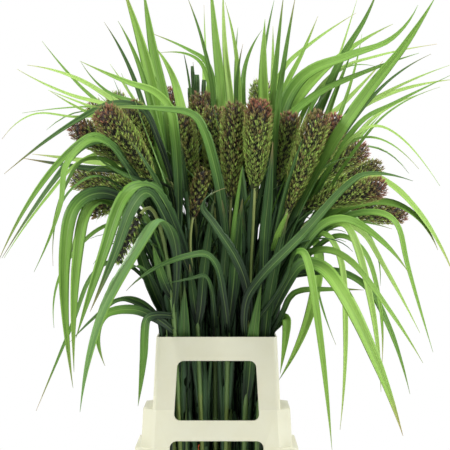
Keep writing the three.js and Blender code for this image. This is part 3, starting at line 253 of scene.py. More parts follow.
# Uneven tone of the plastic, the grains and the rubber: broad clouds and fine specks.
mottle, mottle_in, mottle_out = new_group(
    "uneven_tone",
    [("NodeSocketColor", "Color", (1, 1, 1, 1)), ("NodeSocketFloat", "Amount", 0.1),
     ("NodeSocketFloat", "Cloud Scale", 12.0), ("NodeSocketFloat", "Speck Scale", 300.0)],
    [("NodeSocketColor", "Color"), ("NodeSocketFloat", "Speck")])
mottle_place = add_node(mottle, "TexCoord")
mottle_cloud = add_node(mottle, "TexNoise", values={"Detail": 4.0, "Roughness": 0.6})
mottle_speck = add_node(mottle, "TexNoise", values={"Detail": 2.0, "Roughness": 0.5})
mottle_sum = add_node(mottle, "Math", operation="ADD")
mottle_shift = add_node(mottle, "Math", operation="SUBTRACT", values={1: 1.0})
mottle_gain = add_node(mottle, "Math", operation="MULTIPLY")
mottle_bright = add_node(mottle, "Math", operation="ADD", values={1: 1.0})
mottle_mix = add_node(mottle, "VectorMath", operation="SCALE")
wire(
    mottle,
    (mottle_place, "Object", mottle_cloud, "Vector"),
    (mottle_place, "Object", mottle_speck, "Vector"),
    (mottle_in, "Cloud Scale", mottle_cloud, "Scale"),
    (mottle_in, "Speck Scale", mottle_speck, "Scale"),
    (mottle_cloud, "Fac", mottle_sum, 0),
    (mottle_speck, "Fac", mottle_sum, 1),
    (mottle_sum, 0, mottle_shift, 0),
    (mottle_shift, 0, mottle_gain, 0),
    (mottle_in, "Amount", mottle_gain, 1),
    (mottle_gain, 0, mottle_bright, 0),
    (mottle_in, "Color", mottle_mix, 0),
    (mottle_bright, 0, mottle_mix, "Scale"),
    (mottle_mix, 0, mottle_out, "Color"),
    (mottle_speck, "Fac", mottle_out, "Speck"),
)


def add_mottle(tree, amount, cloud_scale, speck_scale):
    return add_node(tree, "Group", node_tree=mottle, values={
        "Amount": amount, "Cloud Scale": cloud_scale, "Speck Scale": speck_scale})


# Cream polypropylene: satin, a little scuffed, and yellower in patches.
cream, cream_tree, cream_shader = new_material("cream_plastic", {
    "Subsurface Weight": 0.08, "Subsurface Radius": (1.0, 0.9, 0.6), "Subsurface Scale": 0.003})
cream_place = add_node(cream_tree, "TexCoord")
cream_wear = add_node(cream_tree, "TexNoise", values={"Scale": 9.0, "Detail": 6.0, "Roughness": 0.7})
cream_tone = add_ramp(cream_tree, [(0.35, (0.615, 0.612, 0.484)), (0.65, (0.592, 0.580, 0.434))])
cream_even = add_mottle(cream_tree, 0.05, 26.0, 900.0)
cream_scuff = add_node(cream_tree, "TexNoise", values={"Scale": 60.0, "Detail": 5.0, "Distortion": 1.5})
cream_stretch = add_node(cream_tree, "Mapping", values={"Scale": (1.0, 1.0, 6.0)})
cream_rough = add_range(cream_tree, 0.3, 0.7, 0.34, 0.5)
cream_bump = add_node(cream_tree, "Bump", values={"Strength": 0.06, "Distance": 0.001})
wire(
    cream_tree,
    (cream_place, "Object", cream_wear, "Vector"),
    (cream_wear, "Fac", cream_tone, "Fac"),
    (cream_tone, "Color", cream_even, "Color"),
    (cream_even, "Color", cream_shader, "Base Color"),
    (cream_place, "Object", cream_stretch, "Vector"),
    (cream_stretch, "Vector", cream_scuff, "Vector"),
    (cream_scuff, "Fac", cream_rough, "Value"),
    (cream_rough, "Result", cream_shader, "Roughness"),
    (cream_even, "Speck", cream_bump, "Height"),
    (cream_bump, "Normal", cream_shader, "Normal"),
)
collar.data.materials.append(cream)
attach(collar, "root")
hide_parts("collar")


# Bucket: a plain tapered tub of the same cream plastic. The collar stands on its flange, and its
# lip goes up inside the collar. It stands on its flat underside.
BUCKET_FOOT = (0.232, 0.142)
BUCKET_TOP = (0.252, 0.162)
BUCKET_TOP_Z = 0.178
FLANGE = (0.270, 0.180)
FLANGE_Z = (0.167, 0.170)
BUCKET_CORNER_R = 0.014
BUCKET_CORNER_STEPS = 7
BUCKET_FLOOR = 0.003

bucket = tapered_block(0, BUCKET_FOOT, BUCKET_TOP_Z, BUCKET_TOP, BUCKET_CORNER_R, BUCKET_CORNER_STEPS)
flange = tapered_block(FLANGE_Z[0], FLANGE, FLANGE_Z[1], FLANGE, BUCKET_CORNER_R, BUCKET_CORNER_STEPS)
hollow = tapered_block(
    BUCKET_FLOOR, [side - 2 * WALL for side in BUCKET_FOOT],
    BUCKET_TOP_Z + COLLAR_PAST, [side - 2 * WALL for side in BUCKET_TOP],
    BUCKET_CORNER_R - WALL, BUCKET_CORNER_STEPS)
boolean(bucket, flange, "UNION")
boolean(bucket, hollow, "DIFFERENCE")
finish_moulding(bucket, "holder_bucket")
bucket.data.materials.append(cream)
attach(bucket, "root")
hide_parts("bucket")


# Water: clear and a hand's breadth deep in the bucket, round the feet of the stems. It is the CAD
# solid itself, with faint ripples on it.
water_look, water_tree, water_shader = new_material("clear_water", {
    "Roughness": 0.04, "Transmission Weight": 0.9, "IOR": 1.33})
water_place = add_node(water_tree, "TexCoord")
water_ripple = add_node(water_tree, "TexNoise", values={"Scale": 40.0, "Detail": 2.0})
water_bump = add_node(water_tree, "Bump", values={"Strength": 0.15, "Distance": 0.002})
water_tint = add_ramp(water_tree, [(0.3, (0.80, 0.90, 0.84)), (0.7, (0.88, 0.95, 0.88))])
wire(
    water_tree,
    (water_place, "Object", water_ripple, "Vector"),
    (water_ripple, "Fac", water_bump, "Height"),
    (water_bump, "Normal", water_shader, "Normal"),
    (water_ripple, "Fac", water_tint, "Fac"),
    (water_tint, "Color", water_shader, "Base Color"),
)
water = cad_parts["water"]
water.data.materials.clear()
water.data.materials.append(water_look)


# Leafy stems: each is a round green culm with swollen nodes, wrapped in leaf sheaths. Its
# strap-shaped blades leave the sheaths, each with a pale midrib, a shallow fold and fine parallel
# veins. The outer blades arch over and hang, and narrow ones, painted near black as shade, stand close
# round the middle.
BUNCHES = ["left", "middle", "right"]
STEM_NAMES = [f"{bunch}_{i}" for bunch in BUNCHES for i in range(1, 10)]
BUNCH_NARROW = {"left": -0.058, "middle": -0.001, "right": 0.058}
BUNCH_AT_RIM = {"left": -0.0654, "middle": -0.0014, "right": 0.0674}
SQUEEZE = (0.8, 0.62)
FOOT_SPREAD = 1.2
NARROW_Z = 0.294
CULM_R = 0.0032
NECK_R = 0.0019
CULM_THINS_TO_Z = 0.720
CULM_SIDES = 10
CULM_BEND = (0.42, 0.3)      # where a culm starts and ends its bend, as shares of its rise
STEPS_TO_NARROW = 24
STEPS_TO_RIM = 16
STEPS_TO_HEAD = 44
SOLID_CULM_SIDES = 5         # how many corners the CAD's culms, heads and blades have round them
SOLID_HEAD_SIDES = 8
SOLID_RING = 4
SPINE_SHARE = 0.6            # where a fine blade's middle runs, from under a CAD blade's midrib up
SPINE_MOST = 0.00125         # no CAD blade is thicker than this at the midrib
TIP_REACH = 0.004            # from a blade's tip to the nearest corner of its last ring, at least
TIP_SLIMNESS = 0.93          # how far a tip's corners lie one way, from 0 to 1
HEAD_FOOT_SHARE = 0.34       # a head's thickness where it starts, as a share of its greatest


def unit(vectors):
    vectors = np.asarray(vectors, float)
    return vectors / np.linalg.norm(vectors, axis=-1, keepdims=True)


def node_mesh(node):
    """The corners and triangles of a CAD node, with corners in one place made one."""
    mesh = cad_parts[node].data
    corners = np.empty(len(mesh.vertices) * 3)
    mesh.vertices.foreach_get("co", corners)
    mesh.calc_loop_triangles()
    triangles = np.empty(len(mesh.loop_triangles) * 3, int)
    mesh.loop_triangles.foreach_get("vertices", triangles)
    points, index = np.unique(corners.reshape(-1, 3).round(7), axis=0, return_inverse=True)
    return points, index.reshape(-1)[triangles].reshape(-1, 3)


def head_frame(node):
    """Start, end, leaning direction and thickness of a seed head, read from its CAD node."""
    points, _ = node_mesh(node)
    middle = points.mean(axis=0)
    main = np.linalg.svd(points - middle)[2][0]
    order = np.argsort((points - middle) @ main)
    ends = [points[order[:SOLID_HEAD_SIDES]], points[order[-SOLID_HEAD_SIDES:]]]
    radii = [np.linalg.norm(end - end.mean(axis=0), axis=1).mean() for end in ends]
    foot, tip = (ends[0], ends[1]) if radii[0] > radii[1] else (ends[1], ends[0])
    start, end = foot.mean(axis=0), tip.mean(axis=0)
    lean = np.linalg.svd(foot - start)[2][2]
    lean = lean if lean @ (end - start) > 0 else -lean
    return start, end, lean, 2 * max(radii) / HEAD_FOOT_SHARE


def bezier(controls, shares):
    """Points of a Bezier curve, by repeated division."""
    rows = [np.repeat(np.asarray(c, float)[None], len(shares), axis=0) for c in controls]
    part = np.asarray(shares)[:, None]
    while len(rows) > 1:
        rows = [row + (after - row) * part for row, after in zip(rows, rows[1:])]
    return rows[0]


def culm_line(name):
    """The stem's middle line from its foot, through the narrow place and the rim, up to its head."""
    bunch = name.split("_")[0]
    points, _ = node_mesh("stem_" + name)
    foot = points[np.argsort(points[:, 2])[:SOLID_CULM_SIDES]].mean(axis=0)
    off_x = (foot[0] - BUNCH_NARROW[bunch]) / (SQUEEZE[0] * FOOT_SPREAD)
    rim_y = foot[1] / (SQUEEZE[1] * FOOT_SPREAD)
    narrow = np.array([BUNCH_NARROW[bunch] + off_x * SQUEEZE[0], rim_y * SQUEEZE[1], NARROW_Z])
    at_rim = np.array([BUNCH_AT_RIM[bunch] + off_x, rim_y, RIM_Z])
    start, _, lean, _ = head_frame("head_" + name)
    rise = np.linalg.norm(start - at_rim)
    up = unit(at_rim - narrow)
    bend = [at_rim, at_rim + up * rise * CULM_BEND[0], start - lean * rise * CULM_BEND[1], start]
    to_narrow = np.linspace(foot, narrow, STEPS_TO_NARROW, endpoint=False)
    to_rim = np.linspace(narrow, at_rim, STEPS_TO_RIM, endpoint=False)
    return np.vstack([to_narrow, to_rim, bezier(bend, np.linspace(0, 1, STEPS_TO_HEAD))])


def traced_blades(name):
    """Reads the leaf blades off a CAD stem: each as its root, rows of a middle point, half width and
    direction across, and its tip. A blade's tip is a sharp point in a ring of four corners."""
    points, triangles = node_mesh("stem_" + name)
    near = [set() for _ in points]
    for a, b, c in triangles:
        near[a] |= {b, c}
        near[b] |= {a, c}
        near[c] |= {a, b}

    def apart(pair):
        return np.linalg.norm(points[pair[0]] - points[pair[1]])

    blades = []
    for tip, ring in enumerate(near):
        if len(ring) != SOLID_RING:
            continue
        away = points[list(ring)] - points[tip]
        slimness = np.linalg.norm(unit(away).mean(axis=0))
        if np.linalg.norm(away, axis=1).min() < TIP_REACH or slimness < TIP_SLIMNESS:
            continue
        seen, rows, tipward = {tip}, [], points[tip]
        while len(ring) == SOLID_RING:
            pairs = ([a, b] for a in ring for b in ring if a < b and b not in near[a])
            spine = min(pairs, key=apart, default=None)
            if spine is None or apart(spine) > SPINE_MOST:
                break
            edges = points[list(ring - set(spine))]
            fold_at = edges.mean(axis=0)
            under, over = sorted(points[spine], key=lambda p: -np.linalg.norm(p - fold_at))
            middle = under + (over - under) * SPINE_SHARE
            across = edges[1] - edges[0]
            if np.cross(tipward - middle, over - under) @ across < 0:
                across = -across
            rows.append((middle, np.linalg.norm(across) / 2, unit(across)))
            tipward = middle
            seen |= ring
            ring = set().union(*(near[v] - seen for v in ring))
        if rows:
            blades.append((points[list(ring)].mean(axis=0), rows[::-1], points[tip]))
    return blades


def spline(rows, shares):
    """Smooth values at given shares of a line through rows, each of which starts with a place. The
    square roots of the ways between the places space the rows, so that a sharp bend stays tight."""
    rows = np.asarray(rows, float)
    steps = np.sqrt(np.linalg.norm(np.diff(rows[:, :3], axis=0), axis=1))
    at = np.concatenate([[0], np.cumsum(steps)])
    slopes = np.gradient(rows, at, axis=0, edge_order=2 if len(rows) > 2 else 1)
    wanted = np.asarray(shares) * at[-1]
    before = np.clip(np.searchsorted(at, wanted, side="right") - 1, 0, len(at) - 2)
    width = (at[before + 1] - at[before])[:, None]
    part = ((wanted - at[before]) / width[:, 0])[:, None]
    value = (2 * part**3 - 3 * part**2 + 1) * rows[before]
    value += (part**3 - 2 * part**2 + part) * slopes[before] * width
    value += (3 * part**2 - 2 * part**3) * rows[before + 1]
    value += (part**3 - part**2) * slopes[before + 1] * width
    return value


BLADE_ACROSS = [-1.0, -0.66, -0.3, -0.07, 0.07, 0.3, 0.66, 1.0]      # corners of the upper face
BLADE_STEPS = 34
FILL_ACROSS = [-1.0, -0.35, 0.0, 0.35, 1.0]      # the same for a narrow blade
FILL_STEPS = 18
BLADE_FOLD = 0.36            # how far the edges stand above the midrib, as a share of the half width
BLADE_WRAP = 0.75            # the same where a blade leaves its sheath
BLADE_UNWRAP = 0.035         # over this share of its length a blade opens from its sheath
BLADE_DISH = 1.25            # the power by which the fold deepens from the midrib to the edges
BLADE_THICK = 0.0004
MIDRIB_THICK = 0.0011
MIDRIB_HALF = 0.16           # as a share of the half width
KEEL_AT_TIP = 0.15           # what is left of the midrib's thickness at the tip
BLADE_ROOT_HALF = 0.0042
BLADE_TIP_HALF = 0.00025
WAVE = 0.05                  # how high the edges wave, as a share of the half width
WAVE_TURNS = (5, 9)
WAVE_SETS_IN = 0.2           # over this share of its length the wave rises
WAVE_LAG = 1.9               # half the angle between the waves of the two edges
YOUNG_SHARE = 0.2            # a blade's root is this share as aged as its end
AGED_SPAN = (0.1, 0.5)       # where it starts to look aged, and over how much of its length
DRY_SPAN = (0.86, 0.14)      # the same for the dry tip
STALK_LOOK = 1               # the culm's place in a stem's row of materials, after the leaf's


class Skin:
    """Collects the corners, faces and marks of one piece, and makes its mesh."""

    def __init__(self):
        self.points, self.faces, self.marks, self.uvs, self.looks, self.count = [], [], [], [], [], 0

    def add(self, points, faces, marks, uvs=None, look=0):
        """Takes three marks for each corner, and arrays of the corners' numbers as faces. The look is
        a place in the piece's row of materials."""
        self.points.append(points)
        self.marks.append(np.broadcast_to(np.asarray(marks, float), (len(points), 3)))
        self.uvs.append(uvs if uvs is not None else np.zeros((len(points), 2)))
        for group in faces:
            self.faces.append(np.asarray(group) + self.count)
            self.looks.append(np.full(len(group), look))
        self.count += len(points)

    def tube(self, rings, marks, uvs=None, look=0):
        """A closed skin over rings of corners, (steps, corners, 3), with a flat face at each end."""
        steps, corners = rings.shape[:2]
        grid = np.arange(steps * corners).reshape(steps, corners)
        turned = np.roll(grid, -1, axis=1)
        sides = np.stack([grid[:-1], turned[:-1], turned[1:], grid[1:]], axis=-1).reshape(-1, 4)
        self.add(rings.reshape(-1, 3), [sides, grid[:1, ::-1], grid[-1:]], marks, uvs, look)

    def piece(self, name, looks, mark_name):
        mesh = bpy.data.meshes.new(name)
        points = np.vstack(self.points)
        mesh.vertices.add(len(points))
        mesh.vertices.foreach_set("co", points.ravel())
        loops = np.concatenate([group.ravel() for group in self.faces])
        sizes = np.concatenate([np.full(len(group), group.shape[1]) for group in self.faces])
        mesh.loops.add(len(loops))
        mesh.loops.foreach_set("vertex_index", loops)
        mesh.polygons.add(len(sizes))
        mesh.polygons.foreach_set("loop_start", np.concatenate([[0], np.cumsum(sizes)[:-1]]))
        for look in looks:
            mesh.materials.append(look)
        mesh.polygons.foreach_set("material_index", np.concatenate(self.looks))
        mesh.polygons.foreach_set("use_smooth", np.ones(len(sizes), bool))
        marks = np.hstack([np.vstack(self.marks), np.ones((len(points), 1))])
        mark_layer = mesh.attributes.new(mark_name, "FLOAT_COLOR", "POINT")
        mark_layer.data.foreach_set("color", marks.ravel())
        mesh.uv_layers.new(name="along").data.foreach_set("uv", np.vstack(self.uvs)[loops].ravel())
        mesh.update(calc_edges=True)
        mesh.validate()
        obj = bpy.data.objects.new(name, mesh)
        bpy.context.scene.collection.objects.link(obj)
        return obj


def corner_values(rings, *columns):
    """A row of values for each corner of some rings, from columns that fit the grid of corners."""
    spread = [np.broadcast_to(column, rings.shape[:2]) for column in columns]
    return np.stack(spread, axis=-1).reshape(-1, len(columns))


def add_blade(skin, middles, halves, across, age_and_shade, dry, dice, steps_across=FILL_ACROSS):
    """A leaf blade: its upper face is a shallow channel, and its lower face has the midrib as a keel."""
    shares = np.linspace(0, 1, len(middles))
    along = unit(np.gradient(middles, axis=0))
    across = unit(across - along * np.sum(across * along, axis=1, keepdims=True))
    up = np.cross(across, along)
    sides = np.array(steps_across)
    fold = BLADE_FOLD + (BLADE_WRAP - BLADE_FOLD) * np.exp(-((shares / BLADE_UNWRAP) ** 2))
    phase = dice.uniform(0, 2 * math.pi)
    turns = dice.uniform(*WAVE_TURNS)
    angles = 2 * math.pi * turns * shares[:, None] + phase + WAVE_LAG * np.sign(sides)[None]
    wave = WAVE * np.sin(angles) * np.abs(sides) ** 3 * np.clip(shares / WAVE_SETS_IN, 0, 1)[:, None]
    rise = halves[:, None] * (np.abs(sides)[None] ** BLADE_DISH * fold[:, None] + wave)
    out = halves[:, None] * sides[None]
    top = middles[:, None] + across[:, None] * out[..., None] + up[:, None] * rise[..., None]
    slim = np.clip(1 + KEEL_AT_TIP - shares, KEEL_AT_TIP, 1)
    keel = np.exp(-((sides / MIDRIB_HALF) ** 2))[None] * slim[:, None]
    thick = BLADE_THICK + (MIDRIB_THICK - BLADE_THICK) * keel
    bottom = (top - up[:, None] * thick[..., None])[:, 1:-1][:, ::-1]
    rings = np.concatenate([top, bottom], axis=1)
    all_sides = np.concatenate([sides, sides[1:-1][::-1]])
    under = np.concatenate([np.zeros(len(sides)), np.ones(len(sides) - 2)])
    grown = ((shares - AGED_SPAN[0]) / AGED_SPAN[1]).clip(0, 1)
    aged = YOUNG_SHARE + (1 - YOUNG_SHARE) * grown * grown * (3 - 2 * grown)
    dried = np.clip((shares - DRY_SPAN[0]) / DRY_SPAN[1], 0, 1) ** 1.5
    marks = corner_values(rings, np.clip(age_and_shade * aged, 0, 1)[:, None], dry * dried[:, None], under)
    skin.tube(rings, marks, corner_values(rings, (all_sides + 1) / 2, shares[:, None]))


# How a broad blade is toned, from 0, dark green, to 1, yellow-green, partly by age and partly as
# painted light and shade, darker near the middle of the bunch: by how far out and how far behind its tip
# is, and by chance. Now and then one is deep green.
BUNCH_MIDDLE_Z = 0.62
AGES = (0.22, 1)
AGE_LEAST = 0.24
# far-out blades are lighter, partly age and partly painted light; near the middle they take painted shade
OUT_SPAN, OUT_LIGHT_AND_AGE = (0.12, 0.24), 0.5
BEHIND_SPAN, BEHIND_AGE = (-0.02, 0.12), 0.18
HANGS_BELOW_Z = 0.68
HANGING_CHANCE = (-0.1, 0.24)
UPRIGHT_CHANCE = (-0.26, 0.26)
DEEP_SHARE, DEEP_GREEN = 0.2, 0.28


def add_traced_blade(skin, blade, culm, dice):
    """Adds a blade on the lines of the CAD blade, and returns the place on the culm it grows from."""
    root, rows, tip = blade
    nearest = culm[np.argmin(np.linalg.norm(culm - root, axis=1))]
    middles = [nearest] + [row[0] for row in rows] + [tip]
    halves = [BLADE_ROOT_HALF] + [row[1] for row in rows] + [0.0]
    across = [rows[0][2]] + [row[2] for row in rows] + [rows[-1][2]]
    table = [[*m, h, *a] for m, h, a in zip(middles, halves, across)]
    values = spline(table, np.linspace(0, 1, BLADE_STEPS))
    half = np.maximum(values[:, 3], 0.0)
    half[0], half[-1] = BLADE_ROOT_HALF, BLADE_TIP_HALF
    reach = math.hypot(tip[0], tip[2] - BUNCH_MIDDLE_Z)
    outer = min(1, max(0, (reach - OUT_SPAN[0]) / OUT_SPAN[1]))
    behind = min(1, max(0, (tip[1] - BEHIND_SPAN[0]) / BEHIND_SPAN[1]))
    age_and_shade = AGE_LEAST + OUT_LIGHT_AND_AGE * outer + BEHIND_AGE * behind
    age_and_shade += dice.uniform(*(HANGING_CHANCE if tip[2] < HANGS_BELOW_Z else UPRIGHT_CHANCE))
    age_and_shade -= DEEP_GREEN if dice.random() < DEEP_SHARE else 0.0
    age_and_shade = max(AGES[0], min(AGES[1], age_and_shade))
    dry = dice.uniform(0, 1) ** 2
    add_blade(skin, values[:, :3], half, values[:, 4:7], age_and_shade, dry, dice, BLADE_ACROSS)
    return nearest


# Blades and sheaths that fill the middle of the bunch, which no photograph shows one by one.
FILL_BLADES = 7
REAR_FILL_BLADES = 5         # more of them on a stem that stands behind the middle
FILL_ROOT_Z = (0.17, 0.48)
FILL_RISE = (0.16, 0.34)
FILL_REACH = (0.004, 0.040)
FILL_HALF = (0.006, 0.011)
FILL_START = 0.003
FILL_DEEP = 0.7              # it leans this share as far to the front and back as to the sides
FILL_BEHIND = (0.1, 0.9)     # the headings, in half turns, that point behind the stem
FILL_TURN = 0.5              # how far it may face off its heading, and then twist
FILL_TWIST = 1.0
# painted shade: the fill blades take the near-black end of the leaf's tone, as shade deep in the bunch
FILL_SHADE_TONE = (0.0, 0.17)
FILL_SWELL, FILL_BLUNT, FILL_TIP_HALF = (0.14, 1), 0.6, 0.0003
FILL_PAST_NECK = 0.02        # how far above its stem's end one may reach
FILL_KEEPS_OFF = 0.6         # the share of its half width that it keeps off the collar's wall
IN_COLLAR_Z = RIM_Z - 0.05
COLLAR_ROOM = ((0.357, 0.0950, 0.0670), (0.475, 0.0890, 0.0620))     # height, and half the room
LOOSE_RISE = 0.06            # over this rise above the collar the room grows by LOOSE_ROOM
LOOSE_ROOM = 0.05


def keep_in_collar(points, half):
    """Draws the middle line of a blade in, so that it stays inside the collar's walls."""
    (low_z, low_x, low_y), (high_z, high_x, high_y) = COLLAR_ROOM
    rise = np.clip((points[:, 2] - low_z) / (high_z - low_z), 0, 1)
    loose = np.clip((points[:, 2] - high_z) / LOOSE_RISE, 0, 1) * LOOSE_ROOM
    for axis, (low, high) in ((0, (low_x, high_x)), (1, (low_y, high_y))):
        room = low + (high - low) * rise - half + loose
        points[:, axis] = np.clip(points[:, axis], -room, room)
    return points


def step_at(culm, height):
    return int(np.argmin(np.abs(culm[:, 2] - height)))


def narrow_halves(most, swell, power, tip):
    """Half widths of a narrow blade, on the stretch from swell[0] to swell[1] of a swelling curve."""
    halves = most * np.sin(math.pi * np.linspace(*swell, FILL_STEPS)) ** power
    halves[-1] = tip
    return halves


def add_fill_blade(skin, culm, dice):
    low = dice.uniform(*FILL_ROOT_Z)
    rise = dice.uniform(*FILL_RISE)
    reach = dice.uniform(*FILL_REACH)
    # inside the collar they stand behind their stem, so that the windows show the stems
    headings = (0, 2) if low > IN_COLLAR_Z else FILL_BEHIND
    heading = dice.uniform(*headings) * math.pi
    half_most = dice.uniform(*FILL_HALF)
    top_z = min(low + rise, culm[-1][2] + FILL_PAST_NECK)
    shares = np.linspace(0, 1, FILL_STEPS)
    heights = low + (top_z - low) * shares
    x, y, z = culm[step_at(culm, low):].T
    middles = np.stack([np.interp(heights, z, x), np.interp(heights, z, y), heights], axis=1)
    out = np.array([math.cos(heading), FILL_DEEP * math.sin(heading), 0.0])
    middles += out * (FILL_START + reach * shares**2)[:, None]
    middles = keep_in_collar(middles, half_most * FILL_KEEPS_OFF)
    half = narrow_halves(half_most, FILL_SWELL, FILL_BLUNT, FILL_TIP_HALF)
    facing = heading + math.pi / 2 + dice.uniform(-FILL_TURN, FILL_TURN)
    twist = facing + dice.uniform(-FILL_TWIST, FILL_TWIST) * shares
    across = np.stack([np.cos(twist), np.sin(twist), np.zeros(FILL_STEPS)], axis=1)
    add_blade(skin, middles, half, across, dice.uniform(*FILL_SHADE_TONE), 0, dice)


# Narrow blades that stand out of the bunch between the broad ones, each bent outwards the way
# that its stem leans.
FAN_BLADES = 5
FAN_ROOT_Z = (0.50, 0.63)
FAN_LENGTH = (0.20, 0.40)
FAN_HALF = (0.0018, 0.0058)
FAN_STRAY_X, FAN_STRAY_Y = (-0.05, 0.05), (-0.01, 0.09)      # what is added to its stem's lean
FAN_TURN = 0.35              # and how far it may turn off that
FAN_CLIMB = (0.75, 1.4)
FAN_DROOP = (0.0, 0.35)
FAN_BEND = (0.3, 0.7)        # where it starts and ends its bend
FAN_FACING = 0.8
FAN_AGE = (0.15, 0.85)
NARROW_SWELL, NARROW_BLUNT, NARROW_TIP_HALF = (0.2, 1), 0.7, 0.0002
FAN_TRIM = 0.02
FAN_SHORTEST = 0.16
FAN_MIDDLE = np.array([0.0, 0.02, 0.66])     # they end inside an egg of this middle and these radii
FAN_ROOM = np.array([0.30, 0.19, 0.31])
UPRIGHT = np.array([0.0, 0.0, 1.0])


def add_fan_blade(skin, culm, dice):
    start = culm[step_at(culm, dice.uniform(*FAN_ROOT_Z))]
    lean = culm[-1] - culm[STEPS_TO_NARROW + STEPS_TO_RIM]
    heading = math.atan2(lean[1] + dice.uniform(*FAN_STRAY_Y), lean[0] + dice.uniform(*FAN_STRAY_X))
    heading += dice.uniform(-FAN_TURN, FAN_TURN)
    climb = dice.uniform(*FAN_CLIMB)
    length = dice.uniform(*FAN_LENGTH)
    droop = dice.uniform(*FAN_DROOP) * length
    flat = math.cos(climb)
    out = np.array([math.cos(heading) * flat, math.sin(heading) * flat, math.sin(climb)])
    while length >= FAN_SHORTEST and np.linalg.norm((start + out * length - FAN_MIDDLE) / FAN_ROOM) > 1:
        length -= FAN_TRIM
    if length < FAN_SHORTEST:
        return
    end = start + out * length
    path = [start, start + UPRIGHT * length * FAN_BEND[0],
            start + out * length * FAN_BEND[1], end - UPRIGHT * droop]
    middles = bezier(path, np.linspace(0, 1, FILL_STEPS))
    half = narrow_halves(dice.uniform(*FAN_HALF), NARROW_SWELL, NARROW_BLUNT, NARROW_TIP_HALF)
    facing = heading + math.pi / 2 + dice.uniform(-FAN_FACING, FAN_FACING)
    across = np.tile([math.cos(facing), math.sin(facing), 0.0], (FILL_STEPS, 1))
    add_blade(skin, middles, half, across, dice.uniform(*FAN_AGE), 0, dice)


# Thin blades that the photograph shows one by one: stem, height of the root, half width, the points
# that they pass through and age. The last are the dark stumps of leaves cut off behind the heads.
THIN_BLADES = [
    ("left_6", 0.62, 0.0030, [(-0.13, 0.03, 0.79), (-0.21, 0.05, 0.83), (-0.28, 0.06, 0.80)], 0.7),
    ("left_5", 0.56, 0.0035, [(-0.12, 0.00, 0.69), (-0.17, -0.02, 0.735), (-0.206, -0.04, 0.724)], 0.8),
    ("middle_3", 0.66, 0.0030, [(-0.040, 0.05, 0.83), (-0.055, 0.05, 0.927)], 0.4),
    ("middle_6", 0.68, 0.0030, [(0.030, 0.05, 0.85), (0.034, 0.05, 0.967)], 0.6),
    ("right_8", 0.58, 0.0030, [(0.17, 0.05, 0.69), (0.25, 0.07, 0.63), (0.27, 0.08, 0.543)], 0.8),
    ("left_1", 0.50, 0.0030, [(-0.12, -0.07, 0.58), (-0.155, -0.08, 0.565), (-0.174, -0.09, 0.506)], 0.6),
    ("right_7", 0.60, 0.0030, [(0.17, 0.08, 0.75), (0.26, 0.10, 0.775), (0.32, 0.10, 0.73)], 0.8),
    ("right_5", 0.68, 0.0035, [(0.070, 0.03, 0.87), (0.093, 0.04, 1.01)], 0.5),
    ("middle_7", 0.66, 0.0048, [(-0.030, 0.075, 0.80), (-0.034, 0.08, 0.893)], 0.26),
    ("middle_7", 0.66, 0.0040, [(-0.022, 0.07, 0.80), (-0.022, 0.075, 0.884)], 0.22),
    ("middle_8", 0.66, 0.0042, [(-0.040, 0.09, 0.80), (-0.046, 0.09, 0.872)], 0.3),
    ("middle_5", 0.68, 0.0032, [(-0.036, 0.06, 0.81), (-0.041, 0.06, 0.905)], 0.24),
]
CUT_BLADES = 4
CUT_SWELL = (0.2, 0.55)
CUT_END = 0.8                # how wide a stump ends
THIN_ACROSS = [1.0, 0.25, 0.0]

# Sheaths that stand at the back of the holder, between the bunches, painted near black as shade
BACK_BLADES = [
    ("middle_8", 0.18, 0.010, [(0.030, 0.040, 0.28), (0.033, 0.045, 0.40), (0.038, 0.050, 0.52)], 0.05),
    ("right_7", 0.18, 0.010, [(0.036, 0.050, 0.26), (0.028, 0.050, 0.36), (0.020, 0.040, 0.50)], 0.08),
    ("left_8", 0.18, 0.010, [(-0.034, 0.045, 0.28), (-0.030, 0.045, 0.40), (-0.030, 0.040, 0.52)], 0.05),
    ("middle_7", 0.18, 0.010, [(-0.026, 0.045, 0.26), (-0.034, 0.040, 0.36), (-0.040, 0.050, 0.50)], 0.08),
]


def add_thin_blade(skin, culm, row, dice):
    _, low, half_most, points, age_and_shade = row
    cut = row in THIN_BLADES[-CUT_BLADES:]
    middles = spline([culm[step_at(culm, low)], *points], np.linspace(0, 1, FILL_STEPS))
    swell, tip = (CUT_SWELL, half_most * CUT_END) if cut else (NARROW_SWELL, NARROW_TIP_HALF)
    half = narrow_halves(half_most, swell, NARROW_BLUNT, tip)
    across = np.tile(THIN_ACROSS, (FILL_STEPS, 1))
    add_blade(skin, middles, half, across, age_and_shade, 0, dice)


CULM_STEPS = 70
SHEATH_LENGTH = 0.11
SHEATH_THICK = (0.0009, 0.0004)      # where its blade leaves it, and at its foot
SHEATH_EDGE = 0.0006         # how far it stands up past its blade's root
SHEATH_STEPS = np.array([-0.001, 0.0005, 0.002])     # rings close together at its edge
KNOT_BELOW = 0.115           # the swollen node's way below the blade's root
KNOT_SWELL = 0.0007
KNOT_HALF = 0.003
PALE_FROM = 0.12             # how far under its head a neck starts to pale
PALE_OVER = 0.1


def flat_ring(corners):
    """Corners evenly round the Z axis, one away from it."""
    turn = 2 * math.pi * np.arange(corners) / corners
    return np.stack([np.cos(turn), np.sin(turn), np.zeros(corners)], axis=1)


def side_and_front(along, helper=(0.0, 1.0, 0.0)):
    """Two directions square to a line and to each other, the first square to the helper as well."""
    side = unit(np.cross(np.broadcast_to(helper, along.shape), along))
    return side, np.cross(along, side)


def rings_round(line, side, front, radius, corners):
    """A ring of corners round each point of a line."""
    ring = flat_ring(corners)
    spokes = side[:, None] * ring[None, :, :1] + front[:, None] * ring[None, :, 1:2]
    return line[:, None] + np.reshape(radius, (-1, 1, 1)) * spokes


